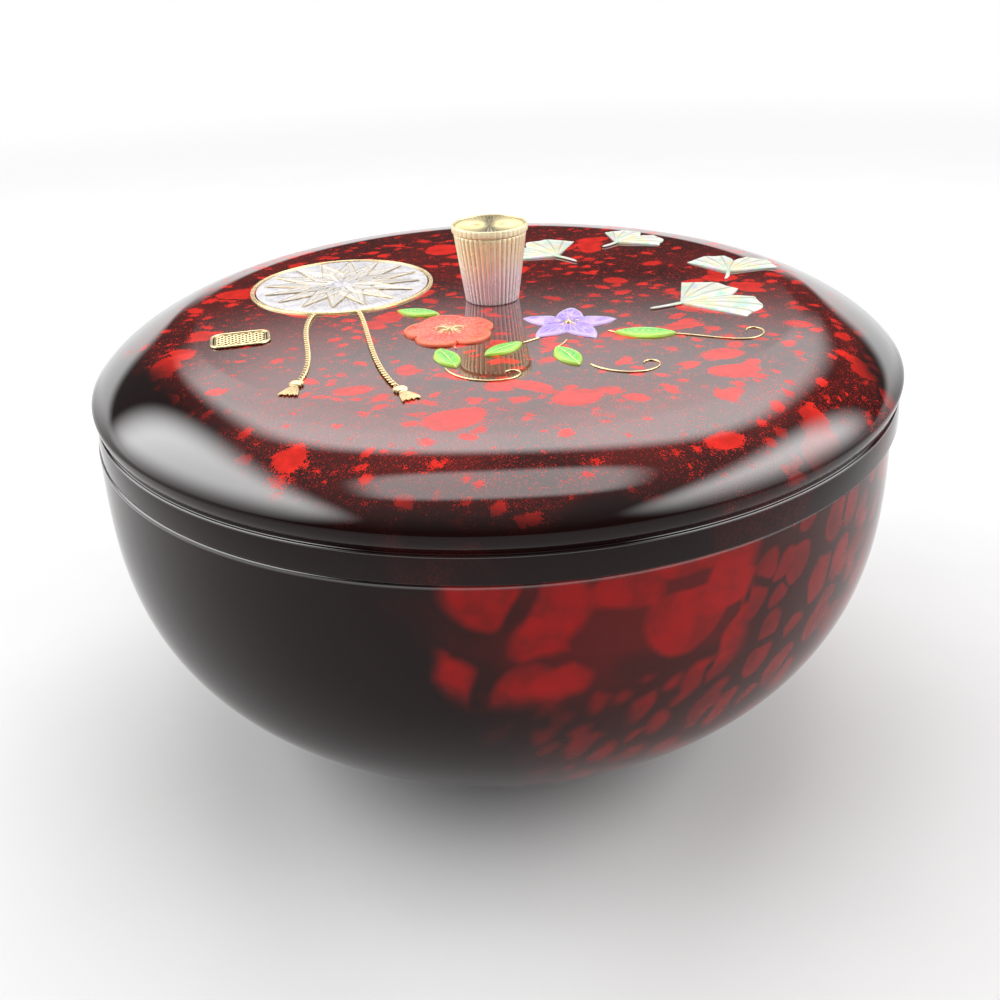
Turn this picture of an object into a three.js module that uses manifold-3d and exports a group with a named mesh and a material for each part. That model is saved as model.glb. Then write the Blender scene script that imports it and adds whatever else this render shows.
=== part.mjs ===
// Round lidded trinket box in mottled lacquer: a turned bowl on a foot ring, a loose lift-off lid
// with a rounded nose and a plain band, a fluted knob held by a screw from below, and thin cut
// pieces of shell, silver and gold laid on the lid's flat top.
// Millimetres, +Z up. The origin is the centre of the foot's base.

import * as THREE from 'three';
import { mergeVertices } from 'three/addons/utils/BufferGeometryUtils.js';
import Module from 'manifold-3d';

const wasm = await Module();
wasm.setup();

// Bowl
const bowlRadius = 105.2;
const bowlHeight = 92;
const bowlSideFullness = 3.34;
const bowlTurnFullness = 1.27;
const bowlCurveUsed = 0.853;
const bowlShoulderRound = 0.8;
const bowlFloorThickness = 5;
const bowlBaseRecess = 3;
const bowlInnerSideFullness = 4.6;
const bowlInnerTurnFullness = 1.5;
const footHeight = 5;
const footRadius = 50;
const footWidth = 6;
const footEdgeRound = 0.6;
const mouthLipHeight = 4;
const mouthLipWall = 2.2;
const mouthLipRound = 0.5;

// Lid
const lidBandHeight = 6.9;
const lidBandWall = 3.4;
const lidBandOverhang = 0.5;
const lidBandTopInset = 0.3;
const lidBandEdgeRound = 0.5;
const lidGrooveDepth = 0.7;
const lidGrooveWidth = 0.5;
const lidNoseOverhang = 0.8;
const lidNoseHeight = 16.5;
const lidNoseUndercurl = 3.8;
const lidNoseFullness = 1.41;
const lidNoseWidth = 23.5;
const lidPlateThickness = 4.5;
const lidInnerFlatInset = 2.5;
const lidInnerRise = 1;
const lidSeatPlay = 1.5;
const lidSetOffShare = 0.65;

// Knob
const knobHeight = 20.9;
const knobBaseRadius = 7.2;
const knobNeckRadius = 9.9;
const knobRingRadius = 10.3;
const knobRingHeight = 2.2;
const knobEdgeRound = 0.4;
const knobFluteCount = 40;
const knobFluteDepth = 0.4;
const knobRimWall = 0.8;
const knobRecessDepth = 0.9;
const knobCapGap = 0.1;
const knobCapThickness = 0.7;
const knobCapRays = 30;
const knobCapHubRadius = 1.2;
const knobCapRayDepth = 0.12;
const knobCapDish = 0.15;

// Knob fastening
const insertRadius = 3.4;
const insertLength = 9;
const insertFit = 0.15;
const screwRadius = 1.95;
const screwThreadFit = 0.12;
const screwReach = 8;
const screwHeadRadius = 4;
const screwHeadHeight = 2.6;
const screwHeadRound = 0.8;
const crossSlotLength = 4.4;
const crossSlotWidth = 1;
const crossSlotDepth = 1.4;
const lidHoleClearance = 0.35;
const washerRadius = 5.5;
const washerThickness = 0.8;
const washerBoreClearance = 0.25;

// Laid pieces on the lid
const inlayThickness = 0.5;
const inlayGap = 0.4;
const ballRadius = 26;
const ballRimWidth = 1.2;
const cordWidth = 1.4;
const cordSway = 16;
const tasselLength = 7.5;
const tasselWidth = 4.4;
const tasselHeadShare = 0.32;
const flowerPetals = 5;
const bellflowerRadius = 12.5;
const bellflowerWaist = 0.5;
const bellflowerTaper = 1.3;
const plumRadius = 11.5;
const plumNotch = 0.2;
const tabletLength = 15;
const tabletWidth = 10.5;
const tabletCorner = 3;
const greenLeafLength = 13;
const greenLeafFullness = 0.46;
const pearlLeafLength = 21;
const ginkgoSpread = 118;
const ginkgoNotch = 0.34;
const ginkgoNotchSharpness = 5;
const ginkgoEdgeDroop = 0.1;
const ginkgoEdgeWave = 0.03;
const ginkgoWaves = 11;
const ginkgoStemWidth = 1.3;
const ginkgoStemLength = 0.42;

// Places on the lid, as shares of the flat top's radius and bearings in degrees
const ballPlace = { reach: 0.56, bearing: 158 };
const bellflowerPlace = { reach: 0.37, bearing: -52, turn: 10 };
const plumPlace = { reach: 0.34, bearing: -113, turn: 30 };
const tabletPlace = { reach: 0.83, bearing: -158, turn: 12 };
const leftTasselPlace = { reach: 0.87, bearing: -128, turn: -100 };
const rightTasselPlace = { reach: 0.8, bearing: -109, turn: -62 };
const cordRuns = [
  { name: 'gold_cord_left', leaves: -100, hangs: leftTasselPlace },
  { name: 'gold_cord_right', leaves: -74, hangs: rightTasselPlace },
];
const pearlLeafPlaces = [
  { reach: 0.61, bearing: -14, turn: 20, scale: 1 },
  { reach: 0.83, bearing: 12, turn: 70, scale: 0.8 },
  { reach: 0.52, bearing: 62, turn: 128, scale: 0.95 },
  { reach: 0.78, bearing: 52, turn: 40, scale: 0.72 },
];
const bellflowerLeafPlaces = [
  { reach: 0.6, bearing: -70, turn: -70, scale: 1 },
  { reach: 0.6, bearing: -42, turn: -10, scale: 1.15 },
  { reach: 0.49, bearing: -87, turn: -140, scale: 0.92 },
];
const plumLeafPlaces = [
  { reach: 0.56, bearing: -104, turn: -70, scale: 1 },
  { reach: 0.27, bearing: -152, turn: 160, scale: 0.92 },
];

// Fineness of round shapes
const turnSteps = 48;
const smallTurnSteps = 24;
const curveSteps = 10;
const roundSteps = 2;
const flowerSteps = 50;
const stepsPerFlute = 3;

// Sizes that follow from the ones above
const lidTop = lidBandHeight + lidNoseHeight;
const lidUnderside = lidTop - lidPlateThickness;
const lidBandRadius = bowlRadius + lidBandOverhang;
const lidNoseRadius = bowlRadius + lidNoseOverhang;
const lidFlatRadius = lidNoseRadius - lidNoseWidth;
const lidBandInner = lidBandRadius - lidBandWall;
const mouthLipOuter = lidBandInner - lidSeatPlay;
const mouthLipInner = mouthLipOuter - mouthLipWall;
const bowlFloor = bowlBaseRecess + bowlFloorThickness;
const lidSetOff = lidSeatPlay * lidSetOffShare;
const lidHoleRadius = screwRadius + lidHoleClearance;
const knobBoreRadius = insertRadius + insertFit;
const knobRecessRadius = knobRingRadius - knobRimWall;

const lacquer = { color: 0x2a0d0c, roughness: 0.06, metalness: 0 };
const champagne = { color: 0xd8c49a, roughness: 0.3, metalness: 0.85 };
const steel = { color: 0x9a9a9c, roughness: 0.35, metalness: 1 };
const brass = { color: 0xb5943c, roughness: 0.35, metalness: 1 };
const silverFoil = { color: 0xc9c9cf, roughness: 0.35, metalness: 0.5 };
const goldFoil = { color: 0xd2b267, roughness: 0.35, metalness: 0.7 };
const pearlShell = { color: 0xe9e6d2, roughness: 0.22, metalness: 0.1 };
const purpleShell = { color: 0x9a7fe0, roughness: 0.3, metalness: 0.1 };
const coralShell = { color: 0xe2553f, roughness: 0.3, metalness: 0.1 };
const greenShell = { color: 0x45c23a, roughness: 0.3, metalness: 0.1 };

const radians = THREE.MathUtils.degToRad;

function piece(name, geometry, finish) {
  const mesh = new THREE.Mesh(geometry, new THREE.MeshStandardMaterial(finish));
  mesh.name = name;
  return mesh;
}

// A turned solid about Z. The outline runs counter-clockwise in radius and height.
function turned(outline, steps = turnSteps) {
  const points = outline.map(([radius, height]) => new THREE.Vector2(radius, height));
  const geometry = new THREE.LatheGeometry(points, steps);
  geometry.rotateX(Math.PI / 2);
  return geometry;
}

function closedOutline(outline) {
  return [...outline, outline[0]];
}

// Quarter-round corner between two directions, given in degrees about its centre.
function rounded(centreRadius, centreHeight, size, fromAngle, toAngle) {
  const points = [];
  for (let i = 0; i <= roundSteps; i += 1) {
    const angle = radians(fromAngle + ((toAngle - fromAngle) * i) / roundSteps);
    points.push([centreRadius + size * Math.cos(angle), centreHeight + size * Math.sin(angle)]);
  }
  return points;
}

// Evenly spaced values from one to another
function shares(from, to, steps) {
  return Array.from({ length: steps + 1 }, (_, i) => from + ((to - from) * i) / steps);
}

function bowlCurveRadius(radius, share, sideFullness, turnFullness) {
  return radius * (1 - share ** sideFullness) ** (1 / turnFullness);
}

function bowlOutline() {
  const fall = (bowlHeight - footHeight) / bowlCurveUsed;
  const outerCurve = shares(bowlCurveUsed, bowlShoulderRound / fall, curveSteps).map((share) => [
    bowlCurveRadius(bowlRadius, share, bowlSideFullness, bowlTurnFullness),
    bowlHeight - share * fall,
  ]);
  const innerFall = bowlHeight - bowlFloor;
  const innerCurve = shares(0, 1, curveSteps).map((share) => {
    const eased = Math.sin((share * Math.PI) / 2);
    return [
      bowlCurveRadius(mouthLipInner, eased, bowlInnerSideFullness, bowlInnerTurnFullness),
      bowlHeight - eased * innerFall,
    ];
  });
  innerCurve[innerCurve.length - 1][0] = 0;
  const footInner = footRadius - footWidth;
  const lipTop = bowlHeight + mouthLipHeight;
  const shoulderRadius = bowlRadius - bowlShoulderRound;
  const shoulderHeight = bowlHeight - bowlShoulderRound;
  return [
    [0, bowlBaseRecess],
    [footInner - footEdgeRound, bowlBaseRecess],
    [footInner, bowlBaseRecess - footEdgeRound],
    [footInner, footEdgeRound],
    [footInner + footEdgeRound, 0],
    ...rounded(footRadius - footEdgeRound, footEdgeRound, footEdgeRound, -90, 0),
    [footRadius, footHeight - footEdgeRound],
    ...outerCurve,
    ...rounded(shoulderRadius, shoulderHeight, bowlShoulderRound, 0, 90).slice(1),
    [mouthLipOuter, bowlHeight],
    ...rounded(mouthLipOuter - mouthLipRound, lipTop - mouthLipRound, mouthLipRound, 0, 90),
    ...rounded(mouthLipInner + mouthLipRound, lipTop - mouthLipRound, mouthLipRound, 90, 180),
    ...innerCurve,
  ];
}

// Quarter of the nose's rounded section, from its widest point up to the flat top.
function noseCurve(wide, flat, low, high) {
  const power = 2 / lidNoseFullness;
  return shares(90, 0, curveSteps).map((angle) => [
    flat + (wide - flat) * Math.abs(Math.sin(radians(angle))) ** power,
    low + (high - low) * Math.abs(Math.cos(radians(angle))) ** power,
  ]);
}

// The lid's heights start at the seam, where its band rests on the bowl's shoulder.
function lidOutline() {
  const noseLow = lidBandHeight + lidNoseUndercurl;
  const bandTopRadius = lidBandRadius - lidBandTopInset;
  const grooveRadius = bandTopRadius - lidGrooveDepth;
  const undercurl = shares(0, 1, roundSteps).slice(0, -1).map((share) => [
    lidNoseRadius + (grooveRadius - lidNoseRadius) * (1 - share) ** 2,
    lidBandHeight + share * lidNoseUndercurl,
  ]);
  const innerFlatRadius = lidFlatRadius - lidInnerFlatInset;
  const innerLow = lidBandHeight + lidInnerRise;
  const inside = noseCurve(lidBandInner, innerFlatRadius, innerLow, lidUnderside);
  return closedOutline([
    [lidBandInner + lidBandEdgeRound, 0],
    ...rounded(lidBandRadius - lidBandEdgeRound, lidBandEdgeRound, lidBandEdgeRound, -90, 0),
    [bandTopRadius, lidBandHeight - lidGrooveWidth],
    ...undercurl,
    ...noseCurve(lidNoseRadius, lidFlatRadius, noseLow, lidTop),
    [lidHoleRadius, lidTop],
    [lidHoleRadius, lidUnderside],
    ...inside.reverse(),
    [lidBandInner, lidBandEdgeRound],
  ]);
}

// The knob's outline above the lid's top; entries marked true are cut by the flutes.
function knobOutline() {
  const neckHeight = knobHeight - knobRingHeight;
  const boreTop = insertLength + insertFit;
  const recessFloor = knobHeight - knobRecessDepth;
  return [
    [0, boreTop, false],
    [knobBoreRadius, boreTop, false],
    [knobBoreRadius, 0, false],
    [knobBaseRadius - knobEdgeRound - knobFluteDepth, 0, false],
    [knobBaseRadius, knobEdgeRound, true],
    [knobNeckRadius, neckHeight, true],
    [knobRingRadius, neckHeight + knobEdgeRound, true],
    [knobRingRadius, knobHeight - knobEdgeRound, true],
    [knobRingRadius - knobEdgeRound, knobHeight, false],
    [knobRecessRadius, knobHeight, false],
    [knobRecessRadius, recessFloor, false],
    [0, recessFloor, false],
  ];
}

function flutedKnob() {
  const outline = knobOutline();
  const geometry = turned(outline, knobFluteCount * stepsPerFlute);
  const position = geometry.attributes.position;
  for (let i = 0; i < position.count; i += 1) {
    if (!outline[i % outline.length][2]) continue;
    const angle = Math.atan2(position.getY(i), position.getX(i));
    const radius = Math.hypot(position.getX(i), position.getY(i));
    const cut = (knobFluteDepth * (1 + Math.cos(knobFluteCount * angle))) / 2;
    position.setXY(i, (radius - cut) * Math.cos(angle), (radius - cut) * Math.sin(angle));
  }
  return geometry;
}

// Dished disc with raised rays, seated in the knob's recess.
function rayedCap() {
  const radius = knobRecessRadius - knobCapGap;
  const outline = [
    [0, 0],
    [radius, 0],
    [radius, knobCapThickness],
    [knobCapHubRadius, knobCapThickness - knobCapDish],
    [0, knobCapThickness - knobCapDish],
  ];
  const rimRow = 2;
  const geometry = turned(outline, knobCapRays * 2);
  const position = geometry.attributes.position;
  for (let i = rimRow; i < position.count; i += outline.length) {
    const angle = Math.atan2(position.getY(i), position.getX(i));
    const drop = (knobCapRayDepth * (1 - Math.cos(knobCapRays * angle))) / 2;
    position.setZ(i, position.getZ(i) - drop);
  }
  return geometry;
}

function asSolid(geometry) {
  const bare = geometry.clone();
  bare.deleteAttribute('normal');
  bare.deleteAttribute('uv');
  const merged = mergeVertices(bare);
  const mesh = new wasm.Mesh({
    numProp: 3,
    vertProperties: new Float32Array(merged.attributes.position.array),
    triVerts: new Uint32Array(merged.index.array),
  });
  mesh.merge();
  return new wasm.Manifold(mesh);
}

function asGeometry(solid) {
  const mesh = solid.getMesh();
  const geometry = new THREE.BufferGeometry();
  geometry.setAttribute('position', new THREE.BufferAttribute(mesh.vertProperties, mesh.numProp));
  geometry.setIndex(new THREE.BufferAttribute(mesh.triVerts, 1));
  return geometry;
}

// Pan-head screw, its head below the washer and its shank up through the lid into the insert.
function screwGeometry() {
  const headTop = lidUnderside - washerThickness;
  const headBottom = headTop - screwHeadHeight;
  const body = turned([
    [0, headBottom],
    [screwHeadRadius - screwHeadRound, headBottom],
    [screwHeadRadius, headBottom + screwHeadRound],
    [screwHeadRadius, headTop],
    [screwRadius, headTop],
    [screwRadius, lidTop + screwReach],
    [0, lidTop + screwReach],
  ], smallTurnSteps);
  const slotHeight = crossSlotDepth * 2;
  const slots = [0, 90].map((angle) => {
    const slot = new THREE.BoxGeometry(crossSlotLength, crossSlotWidth, slotHeight);
    slot.rotateZ(radians(angle));
    slot.translate(0, 0, headBottom);
    return asSolid(slot);
  });
  return asGeometry(asSolid(body).subtract(slots[0].add(slots[1])));
}

function ring(inner, outer, low, high) {
  const outline = closedOutline([[inner, low], [outer, low], [outer, high], [inner, high]]);
  return turned(outline, smallTurnSteps);
}

// Thin flat piece cut to an outline
function cutPiece(shape, steps = curveSteps) {
  const cut = { depth: inlayThickness, bevelEnabled: false, curveSegments: steps };
  return new THREE.ExtrudeGeometry(shape, cut);
}

function polarShape(radiusAt, steps) {
  const points = Array.from({ length: steps }, (_, i) => {
    const angle = (i * 2 * Math.PI) / steps;
    const radius = radiusAt(angle);
    return new THREE.Vector2(radius * Math.cos(angle), radius * Math.sin(angle));
  });
  return new THREE.Shape(points);
}

function direction(bearing) {
  return new THREE.Vector2(Math.cos(radians(bearing)), Math.sin(radians(bearing)));
}

function spot({ reach, bearing }) {
  return direction(bearing).multiplyScalar(reach * lidFlatRadius);
}

function laid(name, geometry, place, finish) {
  const mesh = piece(name, geometry, finish);
  const { x, y } = spot(place);
  mesh.position.set(x, y, lidTop);
  mesh.rotation.z = radians(place.turn ?? 0);
  return mesh;
}

// Pointed petals joined at their waists
function bellflowerShape() {
  return polarShape((angle) => {
    const toTip = Math.abs(((angle * flowerPetals) / (2 * Math.PI)) % 1 - 0.5) * 2;
    return bellflowerRadius * (bellflowerWaist + (1 - bellflowerWaist) * toTip ** bellflowerTaper);
  }, flowerSteps);
}

// Round petals with shallow notches between them
function plumShape() {
  return polarShape((angle) => {
    const lobe = Math.abs(Math.cos((flowerPetals * angle) / 2));
    return plumRadius * (1 - plumNotch + plumNotch * Math.sqrt(lobe));
  }, flowerSteps);
}

// Pointed leaf along X, centred on its place
function leafShape(size) {
  const half = size / 2;
  const bulge = size * greenLeafFullness;
  const shape = new THREE.Shape();
  shape.moveTo(-half, 0);
  shape.quadraticCurveTo(0, bulge, half, 0);
  shape.quadraticCurveTo(0, -bulge, -half, 0);
  return shape;
}

// Fan-shaped leaf that opens along X, with a notch in its wavy edge and a short stem
function ginkgoShape(size) {
  const half = radians(ginkgoSpread / 2);
  const stemHalf = ginkgoStemWidth / 2;
  const stemEnd = -size * ginkgoStemLength;
  const points = [new THREE.Vector2(stemEnd, -stemHalf), new THREE.Vector2(stemHalf, -stemHalf)];
  shares(-1, 1, curveSteps * 2).forEach((share) => {
    const notch = ginkgoNotch * Math.max(0, 1 - Math.abs(share) * ginkgoNotchSharpness);
    const wave = ginkgoEdgeWave * Math.cos(share * ginkgoWaves);
    const radius = size * (1 - ginkgoEdgeDroop * share * share - notch + wave);
    points.push(new THREE.Vector2(radius * Math.cos(share * half), radius * Math.sin(share * half)));
  });
  points.push(new THREE.Vector2(stemHalf, stemHalf), new THREE.Vector2(stemEnd, stemHalf));
  return new THREE.Shape(points);
}

// Narrow band along a curve, as wide as the cord
function cordShape(curve) {
  const steps = curveSteps * 2;
  const sides = [1, -1].map((side) => Array.from({ length: steps + 1 }, (_, i) => {
    const point = curve.getPoint(i / steps);
    const along = curve.getTangent(i / steps);
    const reach = (side * cordWidth) / 2;
    return new THREE.Vector2(point.x - along.y * reach, point.y + along.x * reach);
  }));
  return new THREE.Shape([...sides[0], ...sides[1].reverse()]);
}

// Tassel that hangs along X from its knot at the origin
function tasselShape() {
  const head = tasselLength * tasselHeadShare;
  const shape = new THREE.Shape();
  shape.moveTo(0, -cordWidth / 2);
  shape.quadraticCurveTo(head / 2, -tasselWidth / 2, head, -cordWidth / 2);
  shape.lineTo(tasselLength, -tasselWidth / 2);
  shape.lineTo(tasselLength, tasselWidth / 2);
  shape.lineTo(head, cordWidth / 2);
  shape.quadraticCurveTo(head / 2, tasselWidth / 2, 0, cordWidth / 2);
  return shape;
}

function tabletShape() {
  const halfLength = tabletLength / 2;
  const halfWidth = tabletWidth / 2;
  const shape = new THREE.Shape();
  const corners = [[1, 1], [-1, 1], [-1, -1], [1, -1]];
  corners.forEach(([alongX, alongY], quarter) => {
    const x = alongX * (halfLength - tabletCorner);
    const y = alongY * (halfWidth - tabletCorner);
    const start = (quarter * Math.PI) / 2;
    shape.absarc(x, y, tabletCorner, start, start + Math.PI / 2, false);
  });
  return shape;
}

// Swaying cord from the ball's edge to a tassel's knot
function cordCurve({ leaves, hangs }) {
  const outward = direction(leaves);
  const arrive = direction(hangs.turn);
  const start = spot(ballPlace).addScaledVector(outward, ballRadius + inlayGap);
  const end = spot(hangs).addScaledVector(arrive, -inlayGap);
  const leave = start.clone().addScaledVector(outward, cordSway);
  const approach = end.clone().addScaledVector(arrive, -cordSway);
  return new THREE.CubicBezierCurve(start, leave, approach, end);
}

function laidPieces() {
  const pieces = new THREE.Group();
  const innerBall = polarShape(() => ballRadius - ballRimWidth - inlayGap, turnSteps);
  const rimShape = polarShape(() => ballRadius, turnSteps);
  rimShape.holes.push(polarShape(() => ballRadius - ballRimWidth, turnSteps));
  pieces.add(laid('silver_ball_inlay', cutPiece(innerBall), ballPlace, silverFoil));
  pieces.add(laid('ball_gold_rim', cutPiece(rimShape), ballPlace, goldFoil));

  cordRuns.forEach((run) => {
    const mesh = piece(run.name, cutPiece(cordShape(cordCurve(run))), goldFoil);
    mesh.position.z = lidTop;
    pieces.add(mesh);
  });
  pieces.add(laid('tassel_left', cutPiece(tasselShape()), leftTasselPlace, goldFoil));
  pieces.add(laid('tassel_right', cutPiece(tasselShape()), rightTasselPlace, goldFoil));

  pieces.add(laid('bellflower_inlay', cutPiece(bellflowerShape()), bellflowerPlace, purpleShell));
  pieces.add(laid('plum_inlay', cutPiece(plumShape()), plumPlace, coralShell));
  pieces.add(laid('gold_tablet', cutPiece(tabletShape(), roundSteps), tabletPlace, goldFoil));

  pearlLeafPlaces.forEach((place, i) => {
    const leaf = cutPiece(ginkgoShape(place.scale * pearlLeafLength));
    pieces.add(laid(`pearl_leaf_${i + 1}`, leaf, place, pearlShell));
  });
  bellflowerLeafPlaces.forEach((place, i) => {
    const leaf = cutPiece(leafShape(place.scale * greenLeafLength));
    pieces.add(laid(`bellflower_leaf_${i + 1}`, leaf, place, greenShell));
  });
  plumLeafPlaces.forEach((place, i) => {
    const leaf = cutPiece(leafShape(place.scale * greenLeafLength));
    pieces.add(laid(`plum_leaf_${i + 1}`, leaf, place, greenShell));
  });
  return pieces;
}

function knobPieces() {
  const pieces = new THREE.Group();
  const knob = piece('knob', flutedKnob(), champagne);
  knob.position.z = lidTop;
  const cap = piece('knob_cap', rayedCap(), goldFoil);
  cap.position.z = lidTop + knobHeight - knobRecessDepth;
  const insertBore = screwRadius + screwThreadFit;
  const insert = piece('knob_insert', ring(insertBore, insertRadius, 0, insertLength), brass);
  insert.position.z = lidTop;
  const washerBore = screwRadius + washerBoreClearance;
  const washer = piece('screw_washer', ring(washerBore, washerRadius, -washerThickness, 0), steel);
  washer.position.z = lidUnderside;
  pieces.add(knob, cap, insert, washer, piece('knob_screw', screwGeometry(), steel));
  return pieces;
}

const box = new THREE.Group();
box.add(piece('bowl', turned(bowlOutline()), lacquer));

// The lid lies a little to one side in its loose seat.
const lidAssembly = new THREE.Group();
lidAssembly.position.set(lidSetOff, 0, bowlHeight);
lidAssembly.add(piece('lid', turned(lidOutline()), lacquer), knobPieces(), laidPieces());
box.add(lidAssembly);

export default box;
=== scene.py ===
"""Round lidded trinket box in mottled lacquer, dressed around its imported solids.

Metres, +Z up, in the frame of the solids. The bowl and lid are turned smooth, the knob is fluted,
and the pieces laid on the lid are low reliefs in shell, silver and gold.
"""
from math import atan2, cos, exp, hypot, pi, radians, sin, sqrt

import bmesh
import bpy
from mathutils import Matrix, Vector
from mathutils.kdtree import KDTree


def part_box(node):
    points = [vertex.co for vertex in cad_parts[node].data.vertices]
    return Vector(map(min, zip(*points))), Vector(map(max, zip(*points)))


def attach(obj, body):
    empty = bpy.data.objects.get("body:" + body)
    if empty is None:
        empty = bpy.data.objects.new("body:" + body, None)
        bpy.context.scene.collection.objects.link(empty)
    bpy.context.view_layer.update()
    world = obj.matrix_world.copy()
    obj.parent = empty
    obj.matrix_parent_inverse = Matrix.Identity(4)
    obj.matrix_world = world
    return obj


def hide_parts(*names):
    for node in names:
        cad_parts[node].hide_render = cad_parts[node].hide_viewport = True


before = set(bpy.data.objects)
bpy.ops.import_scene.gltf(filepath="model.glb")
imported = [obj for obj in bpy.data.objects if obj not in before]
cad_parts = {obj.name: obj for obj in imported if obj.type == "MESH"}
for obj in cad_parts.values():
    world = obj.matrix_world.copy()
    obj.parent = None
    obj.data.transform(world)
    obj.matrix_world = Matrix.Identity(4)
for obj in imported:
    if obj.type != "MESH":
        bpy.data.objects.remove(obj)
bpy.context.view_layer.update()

mm = 0.001
up = Vector((0, 0, 1))

# Sizes read from the solids
bowl_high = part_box("bowl")[1]
lid_low, lid_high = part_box("lid")
knob_low, knob_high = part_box("knob")
cap_low, cap_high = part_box("knob_cap")
screw_low, screw_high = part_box("knob_screw")
washer_low, washer_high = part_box("screw_washer")
bowl_radius = bowl_high.x
seam_height = lid_low.z
lid_top = lid_high.z
lid_radius = (lid_high.x - lid_low.x) / 2
lid_centre = (lid_high.x + lid_low.x) / 2
knob_height = knob_high.z - lid_top
knob_radius = (knob_high.y - knob_low.y) / 2
cap_radius = (cap_high.y - cap_low.y) / 2

# Bowl
bowl_side_fullness = 3.34
bowl_turn_fullness = 1.27
bowl_curve_used = 0.853
bowl_shoulder_round = 0.8 * mm
bowl_floor = 8 * mm
bowl_base_recess = 3 * mm
bowl_inner_side_fullness = 4.6
bowl_inner_turn_fullness = 1.5
foot_height = 5 * mm
foot_radius = 50 * mm
foot_width = 6 * mm
foot_edge_round = 0.6 * mm
foot_recess_border = 3 * mm
mouth_lip_wall = 2.2 * mm
mouth_lip_round = 0.5 * mm
mouth_seat_border = 0.3 * mm

# Lid
band_height = 6.9 * mm
band_wall = 3.4 * mm
band_overhang = 0.5 * mm
band_top_inset = 0.3 * mm
band_edge_round = 0.5 * mm
band_lip_round = 0.42 * mm
groove_depth = 0.7 * mm
groove_width = 0.5 * mm
nose_width = 23.5 * mm
nose_undercurl = 3.8 * mm
nose_fullness = 1.41
turn_zone = 9 * mm
turn_window = 5.5 * mm
plate_thickness = 4.5 * mm
inner_flat_inset = 2.5 * mm
inner_rise = 1 * mm
seat_play = 1.5 * mm
knob_hole_radius = 2.3 * mm
sharp_border = 0.3 * mm

band_top = seam_height + band_height
band_radius = bowl_radius + band_overhang
band_inner = band_radius - band_wall
flat_radius = lid_radius - nose_width
nose_low = band_top + nose_undercurl
lip_outer = band_inner - seat_play
lip_inner = lip_outer - mouth_lip_wall
lid_underside = lid_top - plate_thickness

# Knob
rib_count = 40
rib_depth = 0.42 * mm
rib_steps = 14
rib_arch = 0.97
rib_head_length = 0.9 * mm
knob_base_radius = 7.2 * mm
knob_neck_radius = 9.75 * mm
knob_ring_height = 2.2 * mm
knob_edge_round = 0.4 * mm
knob_ring_rib_share = 0.55
knob_bore_radius = 3.55 * mm
knob_bore_height = 9.15 * mm
cap_seat_play = 0.1 * mm
cap_rays = 52
cap_ray_steps = 6
cap_ray_depth = 0.15 * mm
cap_hub = 0.9 * mm
cap_hub_dip = 0.04 * mm
cap_dish = 0.14 * mm
cap_bevel_width = 0.12 * mm
cap_bevel_height = 0.2 * mm

# Fastening
shank_radius = 1.95 * mm
shank_bevel = 0.5 * mm
screw_head_round = 0.8 * mm
screw_head_bevel = 0.1 * mm
slot_length = 4.4 * mm
slot_width = 1 * mm
slot_depth = 1.4 * mm
washer_bore = 2.2 * mm
washer_round = 0.12 * mm

# Laid pieces
inlay_thickness = 0.5 * mm
inlay_gap = 0.4 * mm
ball_radius = 26 * mm
ball_rim_width = 1.2 * mm
ball_rim_rise = 0.62 * mm
ball_rim_beads = 120
ball_ground_threads = 96
ball_ground_thread_rise = 0.12 * mm
ball_thread_radius = 0.2 * mm
ball_spokes = 16
ball_rounds = 9
ball_gilt_rounds = (3, 8)
ball_first_round = (0.1, 0.58)
ball_round_step = (0.034, 0.042)
ball_round_lie = 0.1 * mm
ball_round_rise = 0.012 * mm
cord_width = 1.4 * mm
cord_pitch = 3 * mm
cord_sway = 16 * mm
cord_axis_height = 0.48 * mm
tassel_length = 7.5 * mm
tassel_width = 4.4 * mm
tassel_head_share = 0.32
tassel_threads = 11
petal_count = 5
petal_spokes = 300
petal_rings = 26
petal_swell = 0.42 * mm
bellflower_radius = 12.5 * mm
plum_radius = 11.5 * mm
tablet_length = 15 * mm
tablet_width = 10.5 * mm
tablet_corner = 3 * mm
lattice_border = 1.6 * mm
lattice_pitch = 1.7 * mm
lattice_wire = 0.15 * mm
lattice_height = 0.38 * mm
green_leaf_length = 13 * mm
green_leaf_steps = 48
green_leaf_lanes = 20
pearl_leaf_length = 21 * mm
ginkgo_spread = 118
ginkgo_half = radians(ginkgo_spread / 2)
ginkgo_notch = 0.34
ginkgo_ribs = 23
ginkgo_rings = 24
ginkgo_spokes = 150
stem_radius = 0.24 * mm

# Places on the lid, as shares of the flat top's radius and bearings in degrees
ball_place = {"reach": 0.56, "bearing": 158}
bellflower_place = {"reach": 0.37, "bearing": -52, "turn": 10}
plum_place = {"reach": 0.34, "bearing": -113, "turn": 30}
tablet_place = {"reach": 0.83, "bearing": -158, "turn": 12}
left_tassel_place = {"reach": 0.87, "bearing": -128, "turn": -100}
right_tassel_place = {"reach": 0.8, "bearing": -109, "turn": -62}
cord_runs = [
    {"name": "gold_cord_left", "leaves": -100, "hangs": left_tassel_place},
    {"name": "gold_cord_right", "leaves": -74, "hangs": right_tassel_place},
]
pearl_leaf_places = [
    {"reach": 0.61, "bearing": -14, "turn": 20, "scale": 1},
    {"reach": 0.83, "bearing": 12, "turn": 70, "scale": 0.8},
    {"reach": 0.52, "bearing": 62, "turn": 128, "scale": 0.95},
    {"reach": 0.78, "bearing": 52, "turn": 40, "scale": 0.72},
]
bellflower_leaf_places = [
    {"reach": 0.6, "bearing": -70, "turn": -70, "scale": 1},
    {"reach": 0.6, "bearing": -42, "turn": -10, "scale": 1.15},
    {"reach": 0.49, "bearing": -87, "turn": -140, "scale": 0.92},
]
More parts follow.
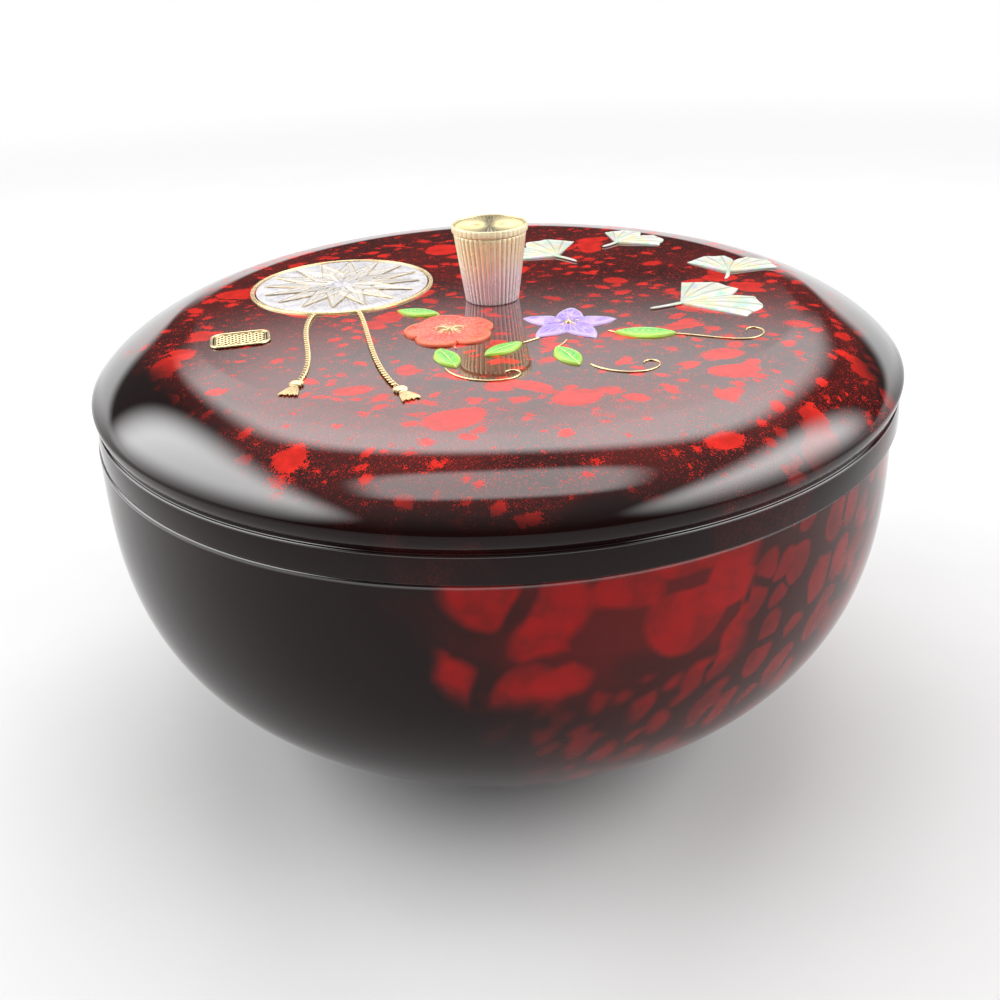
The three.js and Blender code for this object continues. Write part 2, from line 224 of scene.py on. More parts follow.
plum_leaf_places = [
    {"reach": 0.56, "bearing": -104, "turn": -70, "scale": 1},
    {"reach": 0.27, "bearing": -152, "turn": 160, "scale": 0.92},
]

# Gold stems, as cubic curves in millimetres from the lid's centre
stem_runs = [
    [(17.5, -35.5), (17.2, -37), (16.4, -38.5), (14.9, -40.3)],
    [(28, -30.5), (28.6, -30.8), (29.2, -31.2), (29.6, -31.6)],
    [(11, -33.4), (9.8, -34.3), (8.4, -35.4), (6.9, -36.4)],
    [(44, -34.6), (52, -37), (60, -44), (64.5, -37)],
    [(64.5, -37), (66.5, -32.5), (61.5, -30.5), (61, -34.5)],
    [(21.6, -52.3), (24, -57), (32, -61), (36.5, -55.5)],
    [(36.5, -55.5), (38.8, -51.5), (34.2, -49.8), (33.6, -53)],
    [(-9.5, -37), (-9.6, -38), (-9.2, -38.3), (-9.1, -38.8)],
    [(-16, -16.5), (-15, -15), (-14.6, -13.6), (-14, -12.5)],
    [(-11.5, -51), (-10, -57), (-3, -62), (3.5, -59)],
    [(3.5, -59), (7.5, -56.5), (5, -52.5), (2.2, -54.8)],
]

# Camera, fitted to the photograph's outlines
eye_distance = 304.6 * mm
eye_elevation = 20.732
eye_swing = 0.5907
eye_roll = 2.3976
aim_height = band_top
sensor_width = 36
focal_share = 1.1
shift_across = 0.0165
shift_down = -0.1447

# Lamps. A squareness of 2 gives an ellipse, and a high one nearly a rectangle.
lamp_squareness = 3.2
lamps = {
    "left": {
        "azimuth": 182, "elevation": 31, "distance": 1.0, "width": 1.66, "height": 0.98,
        "glow": 4.45, "soft": 0.45, "foot_share": 0.55, "roll": 14,
    },
    "right": {
        "azimuth": -13, "elevation": 31, "distance": 1.0, "width": 1.54, "height": 0.92,
        "glow": 4.35, "soft": 0.5, "foot_share": 0.6, "roll": -14,
    },
    "back": {
        "azimuth": 85, "elevation": 46, "distance": 1.2, "width": 1.8, "height": 1.34,
        "glow": 3.05, "soft": 0.25, "foot_share": 0.3,
    },
    "overhead": {
        "azimuth": 270, "elevation": 86, "distance": 1.0, "width": 1.0, "height": 0.38,
        "glow": 1.9, "soft": 0.35,
    },
}


def heading(bearing):
    """The level direction of a bearing in degrees."""
    return Vector((cos(radians(bearing)), sin(radians(bearing)), 0))


# Shader node helpers

SOCKETS = {"vector": "NodeSocketVector", "value": "NodeSocketFloat", "colour": "NodeSocketColor"}


class Nodes:
    """Adds nodes to one tree and joins them. A value is a number, a colour or another node's socket."""

    def __init__(self, tree):
        self.tree = tree

    def set(self, socket, value):
        if isinstance(value, bpy.types.NodeSocket):
            self.tree.links.new(value, socket)
        else:
            socket.default_value = value

    def add(self, kind, inputs=None, **settings):
        node = self.tree.nodes.new("ShaderNode" + kind)
        for name, value in settings.items():
            setattr(node, name, value)
        for name, value in (inputs or {}).items():
            self.set(node.inputs[name], value)
        return node

    def math(self, operation, *values, clamp=False):
        node = self.add("Math", operation=operation, use_clamp=clamp)
        for socket, value in zip(node.inputs, values):
            self.set(socket, value)
        return node.outputs[0]

    def plus(self, first, second, clamp=False):
        return self.math("ADD", first, second, clamp=clamp)

    def minus(self, first, second):
        return self.math("SUBTRACT", first, second)

    def times(self, first, second, clamp=False):
        return self.math("MULTIPLY", first, second, clamp=clamp)

    def most(self, first, second):
        return self.math("MAXIMUM", first, second)

    def vector(self, operation, *values, scale=None):
        node = self.add("VectorMath", operation=operation)
        for socket, value in zip(node.inputs, values):
            self.set(socket, value)
        if scale is not None:
            self.set(node.inputs["Scale"], scale)
        return node.outputs["Value" if operation in ("LENGTH", "DOT_PRODUCT") else "Vector"]

    def stretched(self, position, factors):
        return self.vector("MULTIPLY", position, factors)

    def turned(self, position, angle, axis):
        return self.add("VectorRotate", {"Vector": position, "Angle": angle, "Axis": axis}).outputs[0]

    def ramp(self, value, low, high, start=0.0, end=1.0):
        """A smooth step from start to end while the value goes from low to high."""
        settings = {"Value": value, "From Min": low, "From Max": high, "To Min": start, "To Max": end}
        return self.add("MapRange", settings, interpolation_type="SMOOTHSTEP").outputs["Result"]

    def mix(self, factor, first, second):
        node = self.add("Mix", data_type="RGBA")
        for index, value in zip((0, 6, 7), (factor, first, second)):
            self.set(node.inputs[index], value)
        return node.outputs[2]

    def noise(self, position, size, detail=2.0):
        scale = self.math("DIVIDE", 1.0, size)
        return self.add("TexNoise", {"Vector": position, "Scale": scale, "Detail": detail}).outputs

    def cells(self, position, size, jitter=1.0, dimensions="3D", feature="F1"):
        scale = self.math("DIVIDE", 1.0, size)
        inputs = {"Vector": position, "Scale": scale, "Randomness": jitter}
        return self.add("TexVoronoi", inputs, voronoi_dimensions=dimensions, feature=feature).outputs

    def drift(self, position, size, amount):
        """A soft random shift of that size across, by about that length."""
        centred = self.vector("SUBTRACT", self.noise(position, size)["Color"], (0.5, 0.5, 0.5))
        return self.vector("SCALE", centred, scale=amount)

    def warped(self, position, size, amount):
        return self.vector("ADD", position, self.drift(position, size, amount))

    def parts(self, position):
        return self.add("SeparateXYZ", {0: position}).outputs

    def kept(self, name):
        """A value that was stored on the mesh's points."""
        return self.add("Attribute", attribute_name=name).outputs["Fac"]


def effect(name, inputs, outputs):
    """An empty shader node group with named sockets: its nodes, its inputs and its outputs to set."""
    tree = bpy.data.node_groups.new(name, "ShaderNodeTree")
    for label, (kind, default) in inputs.items():
        socket = tree.interface.new_socket(name=label, in_out="INPUT", socket_type=SOCKETS[kind])
        if default is not None:
            socket.default_value = default
    for label, kind in outputs.items():
        tree.interface.new_socket(name=label, in_out="OUTPUT", socket_type=SOCKETS[kind])
    entry = tree.nodes.new("NodeGroupInput")
    leave = tree.nodes.new("NodeGroupOutput")
    return Nodes(tree), entry.outputs, leave.inputs


# Lid spots, layer by layer: size, share left plain, reach, turn in radians, squeeze
spot_layers = (
    (1.0, 0.55, 0.37, 0.2, 0.75),
    (0.68, 0.4, 0.38, 1.3, 0.65),
    (0.46, 0.35, 0.38, 2.3, 0.6),
    (0.3, 0.4, 0.38, 0.8, 0.7),
    (0.2, 0.6, 0.38, 1.8, 0.7),
)
spot_axis = (0.1, 0.2, 1)
spot_stray = 0.4
spot_jitter = 0.8


def spot_depth(n, position, size, crowd, layer):
    """How deep a point lies in the nearest spot of one layer, below zero outside it."""
    scale, missing, reach, turn, squeeze = layer
    cell_size = n.times(size, scale)
    drawn_out = n.stretched(n.turned(position, turn, spot_axis), (1, squeeze, 1))
    cell = n.cells(n.warped(drawn_out, cell_size, n.times(cell_size, spot_stray)), cell_size, spot_jitter)
    wide = n.ramp(n.parts(cell["Color"])[0], missing, 1.0, 0.0, reach)
    return n.times(n.minus(n.times(wide, crowd), cell["Distance"]), cell_size)


def mottle_effect():
    """Round spots of many sizes in drifts, stippled at their edges, with fine specks between them."""
    inputs = {
        "Position": ("vector", None),
        "Spot Size": ("value", 0.02),
        "Share": ("value", 1.0),
        "Soft Edge": ("value", 0.0012),
        "Grain Size": ("value", 0.0003),
    }
    n, given, result = effect("mottle", inputs, {"Spots": "value", "Specks": "value"})
    position, size, soft = given["Position"], given["Spot Size"], given["Soft Edge"]
    gathering = n.noise(position, n.times(size, 1.8))["Fac"]
    crowd = n.times(n.ramp(gathering, 0.34, 0.64, 0.6, 1.15), given["Share"])
    deepest, *others = [spot_depth(n, position, size, crowd, layer) for layer in spot_layers]
    for depth in others:
        deepest = n.most(deepest, depth)
    ragged = n.minus(n.noise(position, n.times(size, 0.07), detail=3)["Fac"], 0.5)
    depth = n.math("DIVIDE", n.plus(deepest, n.times(ragged, n.times(soft, 1.6))), soft)
    grain = n.parts(n.cells(position, given["Grain Size"])["Color"])[1]
    thick = n.plus(n.ramp(depth, -0.7, 0.4, 0.0, 1.04), n.ramp(depth, -3.0, -0.3, 0.006, 0.06))
    thin = n.ramp(depth, -3.0, 0.0, 0.06, 0.34)
    n.set(result["Spots"], n.ramp(n.minus(thick, grain), -0.02, 0.04))
    n.set(result["Specks"], n.ramp(n.minus(thin, grain), -0.05, 0.12))
    return n.tree


def shell_effect():
    """Mother-of-pearl: a body colour that drifts through three tints in soft bands and flecks."""
    inputs = {
        "Position": ("vector", None),
        "Band Size": ("value", 0.006),
        "Body": ("colour", (0.8, 0.8, 0.76, 1)),
        "First Tint": ("colour", (0.9, 0.55, 0.7, 1)),
        "Second Tint": ("colour", (0.5, 0.85, 0.6, 1)),
        "Third Tint": ("colour", (0.5, 0.65, 0.95, 1)),
        "Amount": ("value", 0.6),
    }
    n, given, result = effect("shell", inputs, {"Colour": "colour", "Height": "value"})
    position, size = given["Position"], given["Band Size"]
    flow = n.warped(position, size, n.times(size, 1.5))
    bands = n.parts(n.noise(flow, size, detail=1)["Color"])
    colour = given["Body"]
    for band, tint in zip(bands, ("First Tint", "Second Tint", "Third Tint")):
        factor = n.times(n.ramp(band, 0.5, 0.68), given["Amount"])
        colour = n.mix(factor, colour, given[tint])
    growth = n.noise(flow, n.times(size, 0.12))["Fac"]
    n.set(result["Colour"], n.mix(n.ramp(growth, 0.35, 0.7, 0.0, 0.22), colour, (1, 1, 1, 1)))
    n.set(result["Height"], growth)
    return n.tree


def rub_effect():
    """Roughness that wanders between two values, with fine crossing hairlines."""
    inputs = {
        "Position": ("vector", None),
        "Patch Size": ("value", 0.02),
        "Smooth": ("value", 0.05),
        "Rubbed": ("value", 0.12),
        "Hairlines": ("value", 0.3),
    }
    n, given, result = effect("rubbed polish", inputs, {"Roughness": "value", "Height": "value"})
    position, size = given["Position"], given["Patch Size"]
    patch = n.noise(position, size, detail=3)["Fac"]
    lines = 0.0
    for turn in (0.4, 1.7, 2.6):
        drawn_out = n.stretched(n.turned(position, turn, (0.3, 0.2, 1)), (1, 22, 1))
        hair = n.ramp(n.noise(drawn_out, n.times(size, 0.35), detail=1)["Fac"], 0.7, 0.74)
        lines = n.most(lines, hair)
    marks = n.times(lines, given["Hairlines"])
    amount = n.plus(n.ramp(patch, 0.4, 0.75, 0.0, 0.6), marks, clamp=True)
    span = n.minus(given["Rubbed"], given["Smooth"])
    n.set(result["Roughness"], n.plus(given["Smooth"], n.times(span, amount)))
    n.set(result["Height"], n.minus(patch, n.times(marks, 0.2)))
    return n.tree


def foil_effect():
    """Beaten leaf: fine crinkles, and a shade that wanders over them."""
    inputs = {"Position": ("vector", None), "Crinkle Size": ("value", 0.0008)}
    n, given, result = effect("leaf foil", inputs, {"Shade": "value", "Height": "value"})
    position, size = given["Position"], given["Crinkle Size"]
    crinkle = n.cells(n.warped(position, size, size), size)["Distance"]
    shade = n.noise(position, n.times(size, 5), detail=3)["Fac"]
    n.set(result["Shade"], n.plus(n.times(crinkle, 0.3), shade, clamp=True))
    n.set(result["Height"], crinkle)
    return n.tree


def edge_effect():
    """How far a spot stands proud of its surroundings, for the rub on edges and the painted shade in grooves.
    """
    inputs = {"Sharpness": ("value", 6.0)}
    n, given, result = effect("edges", inputs, {"Proud": "value", "Painted Shade": "value"})
    bend = n.minus(n.add("NewGeometry").outputs["Pointiness"], 0.5)
    scaled = n.times(bend, given["Sharpness"])
    n.set(result["Proud"], n.plus(scaled, 0.0, clamp=True))
    # Painted shade where the surface bends inward.
    n.set(result["Painted Shade"], n.times(scaled, -1.0, clamp=True))
    return n.tree


mottle = mottle_effect()
shell = shell_effect()
rub = rub_effect()
foil = foil_effect()
edges = edge_effect()


def place_effect(n, tree, **values):
    node = n.tree.nodes.new("ShaderNodeGroup")
    node.node_tree = tree
    for name, value in values.items():
        n.set(node.inputs[name.replace("_", " ").title()], value)
    return node.outputs


def finish(name, metallic=0.0, ior=1.5, coat=0.0, coat_roughness=0.03):
    """A new material: itself, its nodes, its shader's inputs and the position on the piece."""
    material = bpy.data.materials.new(name)
    material.use_nodes = True
    shader = material.node_tree.nodes["Principled BSDF"]
    shader.inputs["Metallic"].default_value = metallic
    shader.inputs["IOR"].default_value = ior
    shader.inputs["Coat Weight"].default_value = coat
    shader.inputs["Coat Roughness"].default_value = coat_roughness
    n = Nodes(material.node_tree)
    return material, n, shader.inputs, n.add("TexCoord").outputs["Object"]


def bump(n, height, distance):
    return n.add("Bump", {"Height": height, "Distance": distance}).outputs[0]


# Lacquer

black_lacquer = (0.01, 0.0033, 0.0031, 1)
brown_lacquer = (0.04, 0.0055, 0.0045, 1)
inner_black = (0.016, 0.006, 0.005, 1)
lid_ground = (0.11, 0.01, 0.0075, 1)
bright_red = (0.84, 0.03, 0.02, 1)
dusty_red = (0.6, 0.022, 0.014, 1)
deep_red = (0.36, 0.004, 0.003, 1)
dull_red = (0.22, 0.005, 0.004, 1)
dim_red = (0.13, 0.006, 0.005, 1)
speck_red = (0.3, 0.012, 0.009, 1)
clear_coat_ior = 1.85
spotted_coat_share = 0.45

# Bowl ovals, layer by layer: size, share left plain, lean in radians, squeeze
broad_ovals = ((22 * mm, 0.0, 0.3, 0.9), (15 * mm, 0.1, 1.1, 0.8))
narrow_ovals = ((8.4 * mm, 0.12, 0.45, 0.62), (6 * mm, 0.35, 0.9, 0.62))
oval_jitter = 0.65
oval_gap = 0.05
oval_gap_slope = 1.4
oval_gap_round = 0.08
oval_reach = (0.38, 0.52)
oval_strength = 0.85


def gloss(n, shader, position):
    """Mirror polish with light rubbing and a barely wavy surface."""
    polish = place_effect(
        n, rub, position=position, patch_size=30 * mm, smooth=0.025, rubbed=0.075, hairlines=0.2,
    )
    n.set(shader["Roughness"], polish["Roughness"])
    swell = n.noise(position, 16 * mm, detail=1)["Fac"]
    n.set(shader["Normal"], bump(n, swell, 0.006 * mm))


def lobe(n, around, bearing, low, high):
    """A soft share of the way round, full towards a bearing, between two cosines of the angle to it."""
    aim = (*heading(bearing)[:2], 0)
    return n.ramp(n.vector("DOT_PRODUCT", around, aim), low, high)


def on_lid_top(n, position, cloud):
    """Full over the lid's top, with a wandering border that reaches further down the front of its nose."""
    level = n.stretched(position, (1, 1, 0))
    spotted_front = n.times(lobe(n, n.vector("NORMALIZE", level), -70, 0.35, 0.85), 12 * mm)
    wander = n.times(n.minus(cloud, 0.5), 30 * mm)
    out = n.minus(n.plus(n.vector("LENGTH", level), wander), spotted_front)
    return n.ramp(out, flat_radius + 1 * mm, flat_radius + 13 * mm, 1.0, 0.0)


def lid_coat(n, height, spotted):
    """Clear coat on the band's upper lip and on the top and upper nose, less of it on the spots."""
    lip_top = band_top - groove_width
    lip = n.times(
        n.ramp(height, lip_top - 0.5 * mm, lip_top - 0.3 * mm),
        n.ramp(height, lip_top, lip_top + 0.2 * mm, 1.0, 0.0),
    )
    top = n.ramp(height, nose_low + 0.5 * mm, nose_low + 4 * mm)
    return n.plus(lip, n.times(top, n.ramp(spotted, 0.0, 1.0, 1.0, spotted_coat_share)))


def lid_lacquer():
    """Red spots on a brown ground over the top and part of the nose, and a plain dark band."""
    material, n, shader, position = finish("lid_lacquer", ior=1.27, coat=1.0)
    shader["Coat IOR"].default_value = clear_coat_ior
    height = n.parts(position)[2]
    cloud = n.noise(position, 30 * mm)["Fac"]
    spots = place_effect(
        n, mottle, position=position, spot_size=15 * mm, share=1.05, soft_edge=0.9 * mm, grain_size=0.22 * mm,
    )
    on_top = on_lid_top(n, position, cloud)
    above_band = n.ramp(height, band_top, band_top + 5 * mm)
    spotted = n.times(spots["Spots"], n.times(on_top, above_band))
    ground = n.mix(n.ramp(cloud, 0.35, 0.65), brown_lacquer, lid_ground)
    ground = n.mix(n.times(spots["Specks"], 0.8), ground, speck_red)
    shade = n.noise(position, 3 * mm, detail=3)["Fac"]
    red = n.mix(n.ramp(shade, 0.3, 0.7), bright_red, dusty_red)
    n.set(shader["Base Color"], n.mix(spotted, n.mix(on_top, black_lacquer, ground), red))
    n.set(shader["Coat Weight"], lid_coat(n, height, spotted))
    gloss(n, shader, position)
    return material


def oval(n, unrolled, blur, where, layer):
    """One layer of soft ovals that keep a gap between them."""
    size, missing, lean, squeeze = layer
    leaning = n.add("VectorRotate", {"Vector": unrolled, "Angle": lean}, rotation_type="Z_AXIS").outputs[0]
    flow = n.warped(n.stretched(leaning, (1, squeeze, 1)), 0.9 * size, 0.3 * size)
    cell = n.cells(flow, size, oval_jitter, "2D")
    border = n.cells(flow, size, oval_jitter, "2D", "DISTANCE_TO_EDGE")["Distance"]
    chance = n.parts(cell["Color"])[0]
    reach = n.ramp(chance, missing, 1.0, *oval_reach)
    apart = n.times(n.minus(border, oval_gap), oval_gap_slope)
    inside = n.math("SMOOTH_MIN", n.minus(reach, cell["Distance"]), apart, oval_gap_round)
    present = n.times(n.ramp(chance, missing, missing + 0.01, 0.0, oval_strength), where)
    return n.times(n.ramp(inside, 0.0, n.math("DIVIDE", blur, size)), present)


def bowl_zones(n, position, height):
    """Masks round the bowl: its patterned side, the front middle and where the ovals' edges are crisp."""
    wander = n.drift(position, 30 * mm, 50 * mm)
    around = n.vector("NORMALIZE", n.stretched(n.vector("ADD", position, wander), (1, 1, 0)))
    patterned = n.most(lobe(n, around, -28, 0.42, 0.7), lobe(n, around, 128, 0.72, 1.0))
    middle = n.times(lobe(n, around, -79, 0.92, 0.99), n.ramp(height, 56 * mm, 76 * mm))
    return patterned, middle, lobe(n, around, -20, 0.5, 0.85)


def bowl_lacquer():
    """Soft red ovals on the front right, largest near its middle, and plain near-black on the left."""
    material, n, shader, position = finish("bowl_lacquer", ior=1.26)
    shader["Coat IOR"].default_value = clear_coat_ior
    across, deep, height = n.parts(position)
    n.set(shader["Coat Weight"], n.ramp(height, seam_height - 1.2 * mm, seam_height - 0.6 * mm))
    patterned, middle, crisp = bowl_zones(n, position, height)
    broad = n.ramp(middle, 0.1, 0.6)
    narrow = n.times(n.ramp(middle, 0.4, 0.6, 1.0, 0.0), patterned)
    blur = n.minus(2.6 * mm, n.times(crisp, 1.8 * mm))
    along = n.times(n.math("ARCTAN2", deep, across), bowl_radius)
    unrolled = n.add("CombineXYZ", {"X": along, "Y": height}).outputs[0]
    clear = 1.0
    for where, layers in ((broad, broad_ovals), (narrow, narrow_ovals)):
        for layer in layers:
            clear = n.times(clear, n.minus(1.0, oval(n, unrolled, blur, where, layer)))
    amount = n.times(n.minus(1.0, clear), n.ramp(height, 10 * mm, 32 * mm))
    haze = n.times(middle, n.ramp(n.noise(position, 22 * mm)["Fac"], 0.4, 0.6, 0.1, 0.35))
    ground = n.mix(haze, n.mix(patterned, black_lacquer, brown_lacquer), dull_red)
    shade = n.ramp(n.noise(position, 7 * mm, detail=3)["Fac"], 0.36, 0.66)
    red = n.mix(broad, n.mix(shade, dull_red, dim_red), n.mix(shade, deep_red, dull_red))
    n.set(shader["Base Color"], n.mix(amount, ground, red))
    gloss(n, shader, position)
    return material


def inner_lacquer():
    material, n, shader, position = finish("inner_lacquer")
    cloud = n.noise(position, 20 * mm, detail=3)["Fac"]
    n.set(shader["Base Color"], n.mix(n.ramp(cloud, 0.3, 0.7), black_lacquer, inner_black))
    gloss(n, shader, position)
    return material


# Metals and shells

def metal(name, light, dark, smooth, rubbed, metallic=1.0, grain=0.9 * mm, painted_shade_factor=0.35, foot=None):
    """Metal with light rubbed edges, painted shade in its grooves, a fine grain and perhaps a painted lilac
    reflection towards its foot.
    """
    material, n, shader, position = finish(name, metallic=metallic)
    polish = place_effect(
        n, rub, position=position, patch_size=4 * mm, smooth=smooth, rubbed=rubbed, hairlines=0.5,
    )
    bend = place_effect(n, edges, sharpness=7.0)
    crinkle = place_effect(n, foil, position=position, crinkle_size=grain)
    colour = n.mix(n.ramp(crinkle["Shade"], 0.35, 0.8), dark, light)
    colour = n.mix(n.times(bend["Proud"], 0.5), colour, light)
    # Painted reflection: a lilac tint on the metal towards its foot.
    if foot:
        tint, low, high = foot
        colour = n.mix(n.ramp(n.parts(position)[2], low, high, 1.0, 0.0), colour, tint)
    # Painted shade: darker in hollows, and where a piece stores painted shade on its points.
    painted_shade_colour = tuple(painted_shade_factor * part for part in dark[:3]) + (1,)
    painted_shade = n.most(n.times(bend["Painted Shade"], 0.8), n.kept("painted_groove_shade"))
    n.set(shader["Base Color"], n.mix(painted_shade, colour, painted_shade_colour))
    n.set(shader["Roughness"], polish["Roughness"])
    n.set(shader["Normal"], bump(n, polish["Height"], 0.01 * mm))
    return material


def shell_finish(name, body, tints, rim, amount, vein_colour):
    """Cut shell, tinted from its middle to its rim, with veins where the piece has them."""
    material, n, shader, position = finish(name, ior=1.4, coat=0.22, coat_roughness=0.05)
    first, second, third = tints
    nacre = place_effect(
        n, shell, position=position, band_size=5 * mm, body=body,
        first_tint=first, second_tint=second, third_tint=third, amount=amount,
    )
    colour = n.mix(n.ramp(n.kept("reach"), 0.72, 1.0, 0.0, 0.85), nacre["Colour"], rim)
    vein = n.kept("vein")
    n.set(shader["Base Color"], n.mix(n.ramp(vein, 0.4, 0.8), colour, vein_colour))
    polish = place_effect(
        n, rub, position=position, patch_size=6 * mm, smooth=0.14, rubbed=0.3, hairlines=0.3,
    )
    n.set(shader["Roughness"], polish["Roughness"])
    n.set(shader["Normal"], bump(n, n.plus(nacre["Height"], n.times(vein, -0.6)), 0.05 * mm))
    return material


def thread_finish():
    """Silver-white thread, faintly lilac and lighter where it lies on top."""
    material, n, shader, position = finish("silver_thread", metallic=0.25, coat=0.2)
    sheen = place_effect(n, foil, position=position, crinkle_size=0.5 * mm)
    colour = n.mix(n.ramp(sheen["Shade"], 0.3, 0.8), (0.44, 0.42, 0.48, 1), (0.74, 0.72, 0.74, 1))
    upper = n.ramp(n.kept("reach"), 0.0, 1.0, 0.0, 0.5)
    n.set(shader["Base Color"], n.mix(upper, colour, (0.86, 0.84, 0.8, 1)))
    n.set(shader["Roughness"], n.ramp(sheen["Shade"], 0.2, 0.9, 0.26, 0.42))
    n.set(shader["Normal"], bump(n, sheen["Height"], 0.03 * mm))
    return material


# The lilac towards the knob's foot is a painted reflection, and its grooves get painted shade.
champagne = metal(
    "champagne_metal", (0.97, 0.88, 0.58, 1), (0.94, 0.78, 0.48, 1), 0.22, 0.34,
    metallic=0.35, painted_shade_factor=0.5, foot=((0.95, 0.8, 0.82, 1), 5 * mm, 15 * mm),
)
sunray = metal("sunray_metal", (0.95, 0.82, 0.46, 1), (0.86, 0.68, 0.3, 1), 0.16, 0.26)
brass = metal("brass", (0.72, 0.53, 0.22, 1), (0.5, 0.34, 0.12, 1), 0.24, 0.42)
steel = metal("steel", (0.62, 0.62, 0.63, 1), (0.42, 0.42, 0.44, 1), 0.22, 0.4)
gold_leaf = metal(
    "gold_foil", (0.93, 0.74, 0.42, 1), (0.74, 0.5, 0.22, 1), 0.2, 0.38, metallic=0.7, grain=0.4 * mm,
)
silver_thread = thread_finish()
pearl = shell_finish(
    "pearl_shell", (0.72, 0.75, 0.6, 1),
    ((0.9, 0.72, 0.32, 1), (0.34, 0.74, 0.54, 1), (0.68, 0.56, 0.92, 1)),
    rim=(0.86, 0.87, 0.78, 1), amount=0.9, vein_colour=(0.5, 0.5, 0.4, 1),
)
purple = shell_finish(
    "purple_shell", (0.36, 0.2, 0.8, 1),
    ((0.72, 0.42, 0.9, 1), (0.26, 0.22, 0.86, 1), (0.82, 0.62, 0.92, 1)),
    rim=(0.78, 0.62, 0.95, 1), amount=0.6, vein_colour=(0.8, 0.68, 0.95, 1),
)
coral = shell_finish(
    "coral_shell", (0.88, 0.075, 0.026, 1),
    ((0.93, 0.15, 0.05, 1), (0.78, 0.045, 0.02, 1), (0.93, 0.19, 0.09, 1)),
    rim=(0.95, 0.2, 0.09, 1), amount=0.6, vein_colour=(0.93, 0.2, 0.08, 1),
)
green = shell_finish(
    "green_shell", (0.1, 0.66, 0.02, 1),
    ((0.24, 0.84, 0.04, 1), (0.04, 0.5, 0.02, 1), (0.4, 0.88, 0.06, 1)),
    rim=(0.6, 0.88, 0.12, 1), amount=0.6, vein_colour=(0.86, 0.8, 0.3, 1),
)
lacquered_bowl = bowl_lacquer()
lacquered_lid = lid_lacquer()
plain_lacquer = inner_lacquer()


# Mesh helpers

def skin(rows, wrap=True, close=False):
    """Points and faces of the surface through rows of points. A row of one point is a tip."""
    points, starts = [], []
    for row in rows:
        starts.append(len(points))
        points.extend(row)
    pairs = [(i, i + 1) for i in range(len(rows) - 1)]
    if close:
        pairs.append((len(rows) - 1, 0))
    faces = []
    for here, there in pairs:
        count = max(len(rows[here]), len(rows[there]))
        for i in range(count if wrap else count - 1):
            j = (i + 1) % count
            corners = [(here, i), (here, j), (there, j), (there, i)]
            face = [starts[row] + (step if len(rows[row]) > 1 else 0) for row, step in corners]
            faces.append(tuple(dict.fromkeys(face)))
    return points, faces


def build(name, points, faces, material, crease=35):
    """A smooth mesh object whose faces all point outward."""
    mesh = bpy.data.meshes.new(name)
    mesh.from_pydata(points, [], faces)
    work = bmesh.new()
    work.from_mesh(mesh)
    bmesh.ops.remove_doubles(work, verts=work.verts, dist=0.002 * mm)
    bmesh.ops.recalc_face_normals(work, faces=work.faces)
    work.to_mesh(mesh)
    work.free()
    mesh.shade_smooth()
    mesh.set_sharp_from_angle(angle=radians(crease))
    mesh.materials.append(material)
    return linked(name, mesh)


def linked(name, data):
    """A new object in the scene."""
    piece = bpy.data.objects.new(name, data)
    bpy.context.scene.collection.objects.link(piece)
    return piece


def merged(parts):
    """Several (points, faces) as one."""
    points, faces = [], []
    for some_points, some_faces in parts:
        start = len(points)
        points.extend(some_points)
        faces.extend(tuple(start + corner for corner in face) for face in some_faces)
    return points, faces


def keep_value(piece, name, value_at):
    """Stores a value on each point of the piece, from its place, for the finish to use."""
    store = piece.data.attributes.new(name, "FLOAT", "POINT")
    for vertex, item in zip(piece.data.vertices, store.data):
        item.value = value_at(vertex.co)


def polar(point):
    """The distance of a point from the Z axis, and its angle."""
    return hypot(point.x, point.y), atan2(point.y, point.x)


def shares(start, end, steps):
    return [start + (end - start) * i / steps for i in range(steps + 1)]


def arc(centre_radius, centre_height, size, start, end, steps=6):
    angles = [radians(angle) for angle in shares(start, end, steps)]
    return [(centre_radius + size * cos(a), centre_height + size * sin(a)) for a in angles]


def circle(steps, radius_at, height_at):
    """Points round the Z axis, at a radius and a height for each angle."""
    angles = [2 * pi * step / steps for step in range(steps)]
    return [Vector((radius_at(a) * cos(a), radius_at(a) * sin(a), height_at(a))) for a in angles]


def turned_rows(outline, segments, radius_at=None):
    """Rings of points about Z through an outline in radius and height."""
    rows = []
    for radius, height in outline:
        if radius < 1e-7:
            rows.append([Vector((0, 0, height))])
            continue
        at = (lambda angle: radius_at(radius, height, angle)) if radius_at else (lambda angle: radius)
        rows.append(circle(segments, at, lambda angle: height))
    return rows


def turned(name, outline, material, segments=192, close=False, radius_at=None, crease=35):
    points, faces = skin(turned_rows(outline, segments, radius_at), close=close)
    return build(name, points, faces, material, crease)


def inside_faces(piece, material, is_inside):
    """Gives a second finish to the faces whose middle is inside."""
    piece.data.materials.append(material)
    for face in piece.data.polygons:
        if is_inside(polar(face.center)[0], face.center.z):
            face.material_index = 1


def settle(piece, body, slot, *nodes):
    if nodes:
        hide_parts(*nodes)
    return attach(piece, body)


# Bowl and lid

def swept_in(radius, share, side, turn):
    return radius * (1 - share**side) ** (1 / turn)


bowl_fall = (seam_height - foot_height) / bowl_curve_used


def bowl_side():
    """The bowl's outer wall from its foot up to its shoulder."""
    return [
        (swept_in(bowl_radius, s, bowl_side_fullness, bowl_turn_fullness), seam_height - s * bowl_fall)
        for s in shares(bowl_curve_used, bowl_shoulder_round / bowl_fall, 90)
    ]


def bowl_hollow():
    """The bowl's inner wall from its mouth down to the middle of its floor."""
    wall = []
    for share in shares(0, 1, 70):
        eased = sin(share * pi / 2)
        radius = swept_in(lip_inner, eased, bowl_inner_side_fullness, bowl_inner_turn_fullness)
        wall.append((radius, seam_height - eased * (seam_height - bowl_floor)))
    return wall[:-1] + [(0, bowl_floor)]


